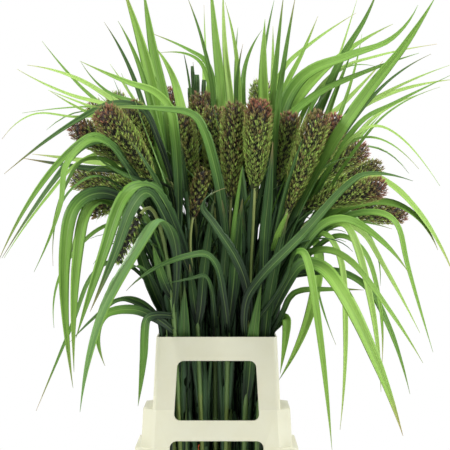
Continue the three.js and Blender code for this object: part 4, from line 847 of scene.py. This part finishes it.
def add_culm(skin, culm, roots):
    """The round stem with a sheath below each blade's root and a swollen node below each sheath."""
    side, front = side_and_front(unit(np.gradient(culm, axis=0)))
    lengths = np.concatenate([[0], np.cumsum(np.linalg.norm(np.diff(culm, axis=0), axis=1))])
    tops = [lengths[np.argmin(np.linalg.norm(culm - root, axis=1))] for root in roots]
    steps = [np.linspace(0, lengths[-1], CULM_STEPS)]
    steps += [top + SHEATH_STEPS for top in tops]
    fine = np.unique(np.concatenate(steps).clip(0, lengths[-1]))
    columns = np.hstack([culm, side, front]).T
    at = np.stack([np.interp(fine, lengths, column) for column in columns], axis=1)
    middle, side, front = at[:, :3], unit(at[:, 3:6]), unit(at[:, 6:])
    thin = np.clip((middle[:, 2] - NARROW_Z) / (CULM_THINS_TO_Z - NARROW_Z), 0, 1)
    radius = CULM_R + (NECK_R - CULM_R) * thin
    sheath = np.zeros(len(fine))
    for top in tops:
        below = (fine <= top + SHEATH_EDGE) & (fine > top - SHEATH_LENGTH)
        thinned = (SHEATH_THICK[0] - SHEATH_THICK[1]) * (top - fine) / SHEATH_LENGTH
        sheath = np.maximum(sheath, np.where(below, SHEATH_THICK[0] - thinned, 0))
        radius = radius + KNOT_SWELL * np.exp(-(((fine - top + KNOT_BELOW) / KNOT_HALF) ** 2))
    rings = rings_round(middle, side, front, radius + sheath, CULM_SIDES)
    pale = np.clip((fine - lengths[-1] + PALE_FROM) / PALE_OVER, 0, 1)
    marks = corner_values(rings, pale[:, None], 0, (sheath > 0)[:, None])
    uvs = corner_values(rings, np.arange(CULM_SIDES) / CULM_SIDES, fine[:, None])
    skin.tube(rings, marks, uvs, STALK_LOOK)


def add_mix(tree, colour):
    """A node that mixes a plain colour, as its B, into another."""
    return add_node(tree, "Mix", data_type="RGBA", values={"B": (*colour, 1)})


# Green strap leaf: parallel veins and a pale midrib, bluish on its underside, dark in the middle of the
# bunch with painted shade, yellow-green towards the tips, with some tips dried to straw.
leaf, leaf_tree, leaf_shader = new_material("millet_leaf", {"Specular IOR Level": 0.22})
leaf_marks = add_node(leaf_tree, "Attribute", attribute_name="leaf_marks")
leaf_split = add_node(leaf_tree, "SeparateColor")
leaf_place = add_node(leaf_tree, "UVMap", uv_map="along")
leaf_uv = add_node(leaf_tree, "SeparateXYZ")
# the ramp's near-black end is painted shade, for the blades deep in the bunch and at its back
leaf_tone_and_shade = add_ramp(leaf_tree, [
    (0.0, (0.004, 0.010, 0.004)), (0.12, (0.016, 0.038, 0.016)), (0.3, (0.048, 0.115, 0.026)),
    (0.55, (0.115, 0.250, 0.036)), (0.78, (0.230, 0.420, 0.068)), (1.0, (0.370, 0.560, 0.140))])
leaf_cloud = add_node(leaf_tree, "Mapping", values={"Scale": (3.2, 0.6, 1.0)})
leaf_streak = add_node(leaf_tree, "TexNoise", values={"Scale": 3.0, "Detail": 3.0})
leaf_shift = add_range(leaf_tree, 0.25, 0.75, -0.16, 0.16)
leaf_age_and_shade = add_node(leaf_tree, "Math", operation="ADD", use_clamp=True)
leaf_vein = add_node(leaf_tree, "Math", operation="MULTIPLY", values={1: 2 * math.pi * 17})
leaf_sine = add_node(leaf_tree, "Math", operation="SINE")
leaf_vein_tone = add_range(leaf_tree, -1.0, 1.0, 0.86, 1.1)
leaf_veined = add_node(leaf_tree, "VectorMath", operation="SCALE")
leaf_off = add_node(leaf_tree, "Math", operation="SUBTRACT", values={1: 0.5})
leaf_far = add_node(leaf_tree, "Math", operation="ABSOLUTE")
leaf_rib = add_range(leaf_tree, 0.018, 0.045, 0.35, 0.0)
leaf_ribbed = add_mix(leaf_tree, (0.30, 0.45, 0.12))
leaf_under = add_mix(leaf_tree, (0.12, 0.24, 0.11))
leaf_under_share = add_node(leaf_tree, "Math", operation="MULTIPLY", values={1: 0.5})
leaf_dried = add_mix(leaf_tree, (0.42, 0.30, 0.13))
leaf_bump = add_node(leaf_tree, "Bump", values={"Strength": 0.35, "Distance": 0.0004})
leaf_rough = add_range(leaf_tree, 0.3, 0.7, 0.36, 0.52)
wire(
    leaf_tree,
    (leaf_marks, "Color", leaf_split, "Color"),
    (leaf_place, "UV", leaf_uv, 0),
    (leaf_place, "UV", leaf_cloud, "Vector"),
    (leaf_cloud, "Vector", leaf_streak, "Vector"),
    (leaf_streak, "Fac", leaf_shift, "Value"),
    (leaf_split, "Red", leaf_age_and_shade, 0),
    (leaf_shift, "Result", leaf_age_and_shade, 1),
    (leaf_age_and_shade, 0, leaf_tone_and_shade, "Fac"),
    (leaf_uv, "X", leaf_vein, 0),
    (leaf_vein, 0, leaf_sine, 0),
    (leaf_sine, 0, leaf_vein_tone, "Value"),
    (leaf_tone_and_shade, "Color", leaf_veined, 0),
    (leaf_vein_tone, "Result", leaf_veined, "Scale"),
    (leaf_uv, "X", leaf_off, 0),
    (leaf_off, 0, leaf_far, 0),
    (leaf_far, 0, leaf_rib, "Value"),
    (leaf_rib, "Result", leaf_ribbed, "Factor"),
    (leaf_veined, 0, leaf_under, "A"),
    (leaf_split, "Blue", leaf_under_share, 0),
    (leaf_under_share, 0, leaf_under, "Factor"),
    (leaf_under, "Result", leaf_ribbed, "A"),
    (leaf_ribbed, "Result", leaf_dried, "A"),
    (leaf_split, "Green", leaf_dried, "Factor"),
    (leaf_dried, "Result", leaf_shader, "Base Color"),
    (leaf_sine, 0, leaf_bump, "Height"),
    (leaf_bump, "Normal", leaf_shader, "Normal"),
    (leaf_streak, "Fac", leaf_rough, "Value"),
    (leaf_rough, "Result", leaf_shader, "Roughness"),
)

# Green culm: bluish where a sheath wraps it, and pale yellow-green under its head.
stalk, stalk_tree, stalk_shader = new_material("millet_stalk", {"Roughness": 0.5})
stalk_marks = add_node(stalk_tree, "Attribute", attribute_name="leaf_marks")
stalk_split = add_node(stalk_tree, "SeparateColor")
stalk_place = add_node(stalk_tree, "UVMap", uv_map="along")
stalk_grain = add_node(stalk_tree, "Mapping", values={"Scale": (22.0, 6.0, 1.0)})
stalk_noise = add_node(stalk_tree, "TexNoise", values={"Scale": 2.0, "Detail": 4.0})
stalk_green = add_ramp(stalk_tree, [(0.3, (0.120, 0.190, 0.040)), (0.7, (0.230, 0.310, 0.075))])
stalk_sheath = add_mix(stalk_tree, (0.075, 0.170, 0.050))
stalk_sheath_share = add_node(stalk_tree, "Math", operation="MULTIPLY", values={1: 0.6})
stalk_top = add_mix(stalk_tree, (0.300, 0.360, 0.110))
stalk_bump = add_node(stalk_tree, "Bump", values={"Strength": 0.3, "Distance": 0.0005})
wire(
    stalk_tree,
    (stalk_marks, "Color", stalk_split, "Color"),
    (stalk_place, "UV", stalk_grain, "Vector"),
    (stalk_grain, "Vector", stalk_noise, "Vector"),
    (stalk_noise, "Fac", stalk_green, "Fac"),
    (stalk_green, "Color", stalk_sheath, "A"),
    (stalk_split, "Blue", stalk_sheath_share, 0),
    (stalk_sheath_share, 0, stalk_sheath, "Factor"),
    (stalk_sheath, "Result", stalk_top, "A"),
    (stalk_split, "Red", stalk_top, "Factor"),
    (stalk_top, "Result", stalk_shader, "Base Color"),
    (stalk_noise, "Fac", stalk_bump, "Height"),
    (stalk_bump, "Normal", stalk_shader, "Normal"),
)

STEM_SEED = 700

for number, name in enumerate(STEM_NAMES):
    dice = random.Random(STEM_SEED + number)
    culm = culm_line(name)
    skin = Skin()
    roots = [add_traced_blade(skin, blade, culm, dice) for blade in traced_blades(name)]
    for _ in range(FILL_BLADES + (REAR_FILL_BLADES if culm[0][1] > 0 else 0)):
        add_fill_blade(skin, culm, dice)
    for _ in range(FAN_BLADES):
        add_fan_blade(skin, culm, dice)
    for row in THIN_BLADES + BACK_BLADES:
        if row[0] == name:
            add_thin_blade(skin, culm, row, dice)
    add_culm(skin, culm, roots)
    stem = skin.piece("leafy_stem_" + name, [leaf, stalk], "leaf_marks")
    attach(stem, "root")
    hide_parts("stem_" + name)


# Seed heads: each is a dense club-shaped panicle on the end of its culm, a spindle, painted near black
# as shade, covered with short branches. Each branch carries a fan of slim green spikelets with thin
# bristles, and they ripen to red-brown from the blunt tip down.
HEAD_PROFILE = [0.30, 0.52, 0.69, 0.81, 0.90, 0.97, 1.0, 1.0, 0.96, 0.84, 0.40]
HEAD_SHARES = [r / 9 * 0.94 for r in range(10)] + [1.0]
HEAD_SPREAD = 1.10           # its fluffy outside against the girth of the solid inside it
HEAD_ARCH = 0.05
CORE_SHARE = 0.62            # the spindle's thickness, as a share of the head's
CORE_STEPS = 14
CORE_SIDES = 9
CORE_TIP_R = 0.0006
CORE_MARKS = (0.55, 0.0, 0.3)        # ripe, lit and varied, as the marks of a spikelet
BRANCH_AREA = 0.47e-4        # how much of the head's outside one branch covers
CAP_FROM = 0.86              # from here to the blunt tip the branches turn forward, over the spindle
GOLDEN_TURN = math.pi * (3 - math.sqrt(5))
SPIRAL_STEPS = 200
SHARE_VARIES = 0.004         # how far a branch strays along the head, and round it
TURN_VARIES = 0.08
BRANCH_SIZES = (0.85, 1.15)
RIPE_VARIES = 0.1
RIPE_POWER = 5               # the higher, the nearer the tip the brown sets in
# Each branch has one spikelet on top, a spread pair below it and three deeper ones between: the
# layer and the place round the branch, in turns, of each.
FAN_LAYERS = [0, 1, 1, 2, 2, 2]
FAN_PLACES = [0, 0.04, 0.46, 0.1, 0.42, 0.75]
FAN_VARIES = 0.3
# For each layer: how far out on the branch it is, how far aside, and how much light reaches it
LAYER_LIFT = np.array([1.04, 0.93, 0.76])
LAYER_ASIDE = np.array([0.0, 0.0018, 0.0028])
LAYER_LIGHT = np.array([1.0, 0.72, 0.16])
LIFT_VARIES = 0.025
LAYER_RIPER = 0.1            # how much riper each layer is than the one over it
SPIKELET_R = 0.00086
SPIKELET_LONG = 3.9          # half its length, in radii
SPIKELET_SIZES = (0.8, 1.25)
SPIKELET_OUT, SPIKELET_AHEAD, SPIKELET_ASIDE = 0.55, 0.85, 0.62
SPIKELET_STRAYS = 0.12
SPIKELET_RIPE_VARIES = 0.14
SPIKELET_SIDES = 3
TURN_UP = np.array([0, 0, 0.35])     # spikelets and bristles turn up to the light
BRISTLES = 4
BRISTLE_LENGTH = (0.006, 0.012)
BRISTLE_R = 0.00024
BRISTLE_FROM = (0.7, 1.0)    # where on its branch it grows, and how it points
BRISTLE_OUT, BRISTLE_AHEAD = (0.35, 1.0), (0.5, 1.0)
BRISTLE_STRAYS = 0.3
BRISTLE_RIPER, BRISTLE_RIPE_VARIES = 0.08, 0.18
# Ripeness of each head, from 0, green, to 1, brown, over its length and at its tip
RIPENESS = {
    "left_1": (0.08, 0.5), "left_2": (0.12, 0.85), "left_3": (0.1, 0.95), "left_4": (0.15, 0.5),
    "left_5": (0.25, 0.4), "left_6": (0.1, 0.35), "left_8": (0.4, 1.0), "left_9": (0.1, 0.2),
    "middle_1": (0.36, 0.4), "middle_2": (0.22, 0.45), "middle_5": (0.05, 0.8), "right_1": (0.08, 1.1),
    "right_2": (0.15, 0.6), "right_3": (0.0, 0.7), "right_4": (0.1, 1.1), "right_5": (0.05, 0.2),
    "right_6": (0.05, 1.1), "right_8": (0.2, 0.85), "right_9": (0.1, 1.0),
}
USUAL_RIPENESS = (0.12, 0.5)
SPARSE_HEADS = {"left_9": 0.5, "middle_1": 0.7}


def turned_to(directions, rolls):
    """A rotation for each direction, which takes +Z to it."""
    z = unit(directions)
    helper = np.where(np.abs(z[:, 2:3]) < 0.9, [[0.0, 0.0, 1.0]], [[1.0, 0.0, 0.0]])
    x = unit(np.cross(helper, z))
    y = np.cross(z, x)
    cosine, sine = np.cos(rolls)[:, None], np.sin(rolls)[:, None]
    return np.stack([x * cosine + y * sine, y * cosine - x * sine, z], axis=2)


# A spikelet is a slim closed spindle: a foot, two rings and a point.
spikelet_ring = flat_ring(SPIKELET_SIDES)
spikelet_points = np.vstack([
    [[0, 0, -SPIKELET_LONG]], spikelet_ring * 0.9 + [0, 0, -SPIKELET_LONG * 0.35],
    spikelet_ring * 0.8 + [0, 0, SPIKELET_LONG * 0.4], [[0, 0, SPIKELET_LONG]]])
spikelet_faces = []
for i in range(SPIKELET_SIDES):
    a, b = 1 + i, 1 + (i + 1) % SPIKELET_SIDES
    c, d = a + SPIKELET_SIDES, b + SPIKELET_SIDES
    spikelet_faces += [[0, b, a], [a, b, d], [a, d, c], [c, d, 2 * SPIKELET_SIDES + 1]]
spikelet_faces = np.array(spikelet_faces)


def add_copies(skin, shape, shape_faces, places, directions, sizes, marks, dice):
    """Copies of one small closed shape, turned from +Z to their directions."""
    turn = turned_to(directions, dice.uniform(0, 2 * math.pi, len(places)))
    points = np.einsum("nij,nkj->nki", turn, shape[None] * sizes[:, None]) + places[:, None]
    faces = (np.arange(len(places)) * len(shape))[:, None, None] + shape_faces[None]
    skin.add(points.reshape(-1, 3), [faces.reshape(-1, 3)], np.repeat(marks, len(shape), axis=0))


# A bristle is a three-sided spike.
bristle_points = np.vstack([flat_ring(3), [[0, 0, 1]]])
bristle_faces = np.array([[0, 1, 3], [1, 2, 3], [2, 0, 3], [0, 2, 1]])


def add_core(skin, controls, girth):
    """The spindle in the middle of a head, painted near black as shade."""
    shares = np.linspace(0, 1, CORE_STEPS)
    line = bezier(controls, shares)
    side, front = side_and_front(unit(np.gradient(line, axis=0)))
    radius = np.interp(shares, HEAD_SHARES, HEAD_PROFILE) * girth / 2 * CORE_SHARE
    radius[0], radius[-1] = NECK_R, CORE_TIP_R
    skin.tube(rings_round(line, side, front, radius, CORE_SIDES), CORE_MARKS)


def head_branches(name, controls, length, girth, dice):
    """The branches, on a spiral round the spindle and denser where the head is thicker: where each
    one starts, three directions, its reach, how far it is turned forward, its size and ripeness."""
    steps = np.linspace(0, 1, SPIRAL_STEPS)
    even = np.interp(steps, HEAD_SHARES, HEAD_PROFILE)
    area = math.pi * girth * length * even.mean()
    count = int(SPARSE_HEADS.get(name, 1.0) * area / BRANCH_AREA)
    spread = np.cumsum(even)
    spread = (spread - spread[0]) / (spread[-1] - spread[0])
    share = np.interp((np.arange(count) + 0.5) / count, spread, steps)
    share = (share + dice.normal(0, SHARE_VARIES, count)).clip(0.008, 0.99)
    angle = np.arange(count) * GOLDEN_TURN + dice.normal(0, TURN_VARIES, count)
    centre = bezier(controls, share)
    ahead = unit(bezier(controls, share + 0.01) - centre)
    side, front = side_and_front(ahead)
    out = side * np.cos(angle)[:, None] + front * np.sin(angle)[:, None]
    reach = (np.interp(share, HEAD_SHARES, HEAD_PROFILE) * girth / 2)[:, None]
    cap = ((share - CAP_FROM) / (1 - CAP_FROM)).clip(0, 1)[:, None]
    big = dice.uniform(*BRANCH_SIZES, (count, 1))
    ripe_foot, ripe_tip = RIPENESS.get(name, USUAL_RIPENESS)
    ripe = ripe_foot + (ripe_tip - ripe_foot) * share**RIPE_POWER
    ripe = ripe + dice.normal(0, RIPE_VARIES, count)
    return centre, ahead, out, np.cross(ahead, out), reach, cap, big, ripe


def repeated(branches, times):
    return [np.repeat(values, times, axis=0) for values in branches]


def add_spikelets(skin, branches, dice):
    count = len(branches[0])
    layer = np.tile(FAN_LAYERS, count)
    fan = np.tile(2 * math.pi * np.array(FAN_PLACES), count)
    fan = fan + dice.uniform(-FAN_VARIES, FAN_VARIES, len(fan))
    lift = (LAYER_LIFT[layer] + dice.normal(0, LIFT_VARIES, len(layer)))[:, None]
    centre, ahead, out, around, reach, cap, big, ripe = repeated(branches, len(FAN_LAYERS))
    aside = LAYER_ASIDE[layer][:, None] * big
    across, along = np.cos(fan)[:, None], np.sin(fan)[:, None]
    places = centre + out * reach * lift + around * across * aside + ahead * along * aside * 1.6
    places += ahead * (lift - 0.8) * 0.012 + ahead * cap * reach * 0.35 * (lift - 0.3)
    directions = out * (SPIKELET_OUT - 0.3 * cap) + ahead * SPIKELET_AHEAD + TURN_UP
    directions += around * across * SPIKELET_ASIDE * (layer > 0)[:, None]
    directions += around * dice.normal(0, SPIKELET_STRAYS, (len(layer), 1))
    sizes = SPIKELET_R * dice.uniform(*SPIKELET_SIZES, len(layer)) * big[:, 0]
    varied = dice.normal(0, SPIKELET_RIPE_VARIES, len(layer))
    tones = (ripe + varied + LAYER_RIPER * layer).clip(0, 1)
    marks = np.stack([tones, LAYER_LIGHT[layer], dice.uniform(0, 1, len(layer))], axis=1)
    sizes = np.stack([sizes, sizes, sizes], axis=1)
    add_copies(skin, spikelet_points, spikelet_faces, places, directions, sizes, marks, dice)


def add_bristles(skin, branches, dice):
    centre, ahead, out, around, reach, cap, _, ripe = repeated(branches, BRISTLES)
    total = len(centre)
    places = centre + out * reach * dice.uniform(*BRISTLE_FROM, (total, 1))
    places += around * dice.normal(0, 0.002, (total, 1)) + ahead * dice.normal(0.001, 0.0015, (total, 1))
    directions = out * dice.uniform(*BRISTLE_OUT, (total, 1)) * (1 - 0.5 * cap)
    directions += ahead * dice.uniform(*BRISTLE_AHEAD, (total, 1)) + TURN_UP
    directions += around * dice.normal(0, BRISTLE_STRAYS, (total, 1))
    lengths = dice.uniform(*BRISTLE_LENGTH, total)
    tones = (ripe + dice.normal(BRISTLE_RIPER, BRISTLE_RIPE_VARIES, total)).clip(0, 1)
    marks = np.stack([tones, np.ones(total), dice.uniform(0.4, 1, total)], axis=1)
    width = np.full(total, BRISTLE_R)
    sizes = np.stack([width, width, lengths], axis=1)
    add_copies(skin, bristle_points, bristle_faces, places, directions, sizes, marks, dice)


def seed_head(name, seed):
    dice = np.random.default_rng(seed)
    start, end, lean, girth = head_frame("head_" + name)
    girth *= HEAD_SPREAD
    length = np.linalg.norm(end - start)
    droop = (np.array([0, 0, -1.0]) + lean * lean[2]) * length * HEAD_ARCH
    controls = [start, (start + end) / 2 - droop, end]
    skin = Skin()
    add_core(skin, controls, girth)
    branches = head_branches(name, controls, length, girth, dice)
    add_spikelets(skin, branches, dice)
    add_bristles(skin, branches, dice)
    return skin.piece("seed_head_" + name, [grains], "grain_marks")


# Spikelets: olive-green when unripe, through brown to red-brown, with painted shade that darkens them deep
# in the head.
grains, grains_tree, grains_shader = new_material("millet_spikelets", {"Roughness": 0.6})
grains_marks = add_node(grains_tree, "Attribute", attribute_name="grain_marks")
grains_split = add_node(grains_tree, "SeparateColor")
grains_tone = add_ramp(grains_tree, [
    (0.0, (0.300, 0.470, 0.075)), (0.25, (0.310, 0.400, 0.075)), (0.5, (0.235, 0.190, 0.050)),
    (0.75, (0.210, 0.100, 0.040)), (1.0, (0.330, 0.115, 0.062))])
grains_even = add_mottle(grains_tree, 0.5, 60.0, 700.0)
# painted shade: the lit mark scales the colour down to near black for the deeper layers and the spindle
grains_painted_shade = add_range(grains_tree, 0.0, 1.0, 0.02, 1.0)
grains_shade = add_node(grains_tree, "VectorMath", operation="SCALE")
grains_pick = add_range(grains_tree, 0.0, 1.0, 0.7, 1.35)
grains_vary = add_node(grains_tree, "VectorMath", operation="SCALE")
wire(
    grains_tree,
    (grains_marks, "Color", grains_split, "Color"),
    (grains_split, "Red", grains_tone, "Fac"),
    (grains_tone, "Color", grains_even, "Color"),
    (grains_even, "Color", grains_shade, 0),
    (grains_split, "Green", grains_painted_shade, "Value"),
    (grains_painted_shade, "Result", grains_shade, "Scale"),
    (grains_shade, 0, grains_vary, 0),
    (grains_split, "Blue", grains_pick, "Value"),
    (grains_pick, "Result", grains_vary, "Scale"),
    (grains_vary, 0, grains_shader, "Base Color"),
)

HEAD_SEED = 4100

for number, name in enumerate(STEM_NAMES):
    head = seed_head(name, HEAD_SEED + number)
    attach(head, "root")
    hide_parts("head_" + name)


# Elastic ties: a thin orange-red elastic cord is wound several times round each bunch and knotted.
# A loose end of the middle one sticks up in the lower window.
CORD_R = 0.00065
CORD_WINDS = 6
CORD_SIDES = 8
CORD_STEPS = 60              # to each wind
CORD_START = -2.4            # the angle at which it starts
CORD_WANDER = 0.0008         # how far a wind strays up and down, and how often in a turn
CORD_WANDERS = 0.83
CORD_SINK = 0.00015          # how deep it lies in the CAD band, how far that varies, and how often
CORD_SINK_VARIES = 0.0002
CORD_SINKS = 1.31
CORD_HELPER = (0.01, 0.01, 1.01)
FEELERS = np.linspace(-1.4, 1.4, 57)     # the angles at which a bunch's reach is felt
CORD_END_STEPS = 24
CORD_END = [(-0.0255, -0.0335, 0.2685), (-0.0275, -0.0372, 0.2740), (-0.0262, -0.0365, 0.2850),
            (-0.0290, -0.0372, 0.2925), (-0.0272, -0.0368, 0.2985)]

rubber, rubber_tree, rubber_shader = new_material("orange_rubber", {"Roughness": 0.55})
rubber_tone = add_mottle(rubber_tree, 0.25, 60.0, 600.0)
rubber_tone.inputs["Color"].default_value = (0.80, 0.13, 0.035, 1)
rubber_bump = add_node(rubber_tree, "Bump", values={"Strength": 0.2, "Distance": 0.0005})
wire(
    rubber_tree,
    (rubber_tone, "Color", rubber_shader, "Base Color"),
    (rubber_tone, "Speck", rubber_bump, "Height"),
    (rubber_bump, "Normal", rubber_shader, "Normal"),
)


def add_cord(skin, line):
    """A round cord along a row of points."""
    side, front = side_and_front(unit(np.gradient(line, axis=0)), CORD_HELPER)
    skin.tube(rings_round(line, side, front, CORD_R, CORD_SIDES), (0, 0, 0))


def round_bunch(points, angles):
    """The line round a CAD band at the given angles, on its outer face."""
    middle = (points.min(axis=0) + points.max(axis=0)) / 2
    flat = (points - middle)[:, :2]
    reach = np.empty(len(angles))
    for i, angle in enumerate(angles):
        # the hull's support lines give its reach in each direction
        steps = angle + FEELERS
        normals = np.stack([np.cos(steps), np.sin(steps)], axis=1)
        reach[i] = ((flat @ normals.T).max(axis=0) / np.cos(steps - angle)).min()
    return middle[:2] + np.stack([np.cos(angles), np.sin(angles)], axis=1) * reach[:, None]


for bunch in BUNCHES:
    points, _ = node_mesh("tie_" + bunch)
    low_z, high_z = points[:, 2].min() + CORD_R, points[:, 2].max() - CORD_R
    angles = np.linspace(0, 2 * math.pi * CORD_WINDS, CORD_STEPS * CORD_WINDS) + CORD_START
    heights = np.linspace(low_z, high_z, len(angles)) + CORD_WANDER * np.sin(angles * CORD_WANDERS)
    heights = heights.clip(low_z, high_z)
    inset = CORD_R + CORD_SINK + CORD_SINK_VARIES * np.sin(angles * CORD_SINKS)
    middle = points[:, :2].mean(axis=0)
    flat = round_bunch(points, angles) - middle
    flat *= 1 - inset[:, None] / np.linalg.norm(flat, axis=1, keepdims=True)
    skin = Skin()
    add_cord(skin, np.column_stack([flat + middle, heights]))
    if bunch == "middle":
        add_cord(skin, spline(CORD_END, np.linspace(0, 1, CORD_END_STEPS)))
    tie = skin.piece("elastic_tie_" + bunch, [rubber], "cord_marks")
    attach(tie, "root")
    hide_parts("tie_" + bunch)


# Set: a plain pale floor, soft white light all round, and the camera where the photograph was taken.
FLOOR_SIDE = 2.6
FLOOR_Z = -0.0005

bpy.ops.object.select_all(action="DESELECT")
bpy.ops.mesh.primitive_plane_add(size=FLOOR_SIDE, location=(0, 0, FLOOR_Z))
floor = bpy.context.active_object
floor.name = "floor"
bpy.ops.object.transform_apply(location=True, rotation=False, scale=True)
floor_look, _, _ = new_material("pale_floor", {"Base Color": (0.85, 0.85, 0.85, 1), "Roughness": 0.8})
floor.data.materials.append(floor_look)

world = bpy.data.worlds.new("white_studio")
bpy.context.scene.world = world
world.use_nodes = True
sky = world.node_tree
sky.nodes.clear()
sky_light = add_node(sky, "Background", values={"Strength": 0.38, "Color": (1, 1, 1, 1)})
sky_seen = add_node(sky, "Background", values={"Strength": 1.0, "Color": (1, 1, 1, 1)})
sky_path = add_node(sky, "LightPath")
sky_mix = add_node(sky, "MixShader")
sky_out = add_node(sky, "OutputWorld")
wire(
    sky,
    (sky_path, "Is Camera Ray", sky_mix, 0),
    (sky_light, 0, sky_mix, 1),
    (sky_seen, 0, sky_mix, 2),
    (sky_mix, 0, sky_out, "Surface"),
)


# Lamps: name, place, aim, side of the square that shines, and power
LAMPS = [
    ("left_light", (-2.3, -0.9, 1.9), (0, 0, 0.6), 0.9, 70),
    ("right_light", (2.3, -0.9, 1.6), (0, 0, 0.6), 1.0, 64),
    ("top_light", (0.2, -0.3, 2.4), (0, 0, 0.6), 1.0, 20),
    ("back_light_left", (-1.5, 1.6, 1.4), (-0.1, 0, 0.7), 1.0, 30),
    ("back_light_right", (1.5, 1.6, 1.4), (0.1, 0, 0.7), 1.0, 30),
]
for name, place, aim, side, power in LAMPS:
    bpy.ops.object.select_all(action="DESELECT")
    bpy.ops.object.light_add(type="AREA", location=place)
    lamp = bpy.context.active_object
    lamp.name = name
    lamp.data.size = side
    lamp.data.energy = power
    lamp.rotation_euler = (Vector(aim) - Vector(place)).to_track_quat("-Z", "Y").to_euler()

CAMERA_PLACE = (0.013, -2.3, 0.644)
CAMERA_SENSOR = 36
CAMERA_LENS = 115
CAMERA_NEAR = 0.1
bpy.ops.object.camera_add(location=CAMERA_PLACE, rotation=(math.pi / 2, 0, 0))
camera = bpy.context.active_object
camera.name = "photo_camera"
camera.data.sensor_width = CAMERA_SENSOR
camera.data.lens = CAMERA_LENS
camera.data.clip_start = CAMERA_NEAR
bpy.context.scene.camera = camera
bpy.context.scene.view_settings.view_transform = "Standard"
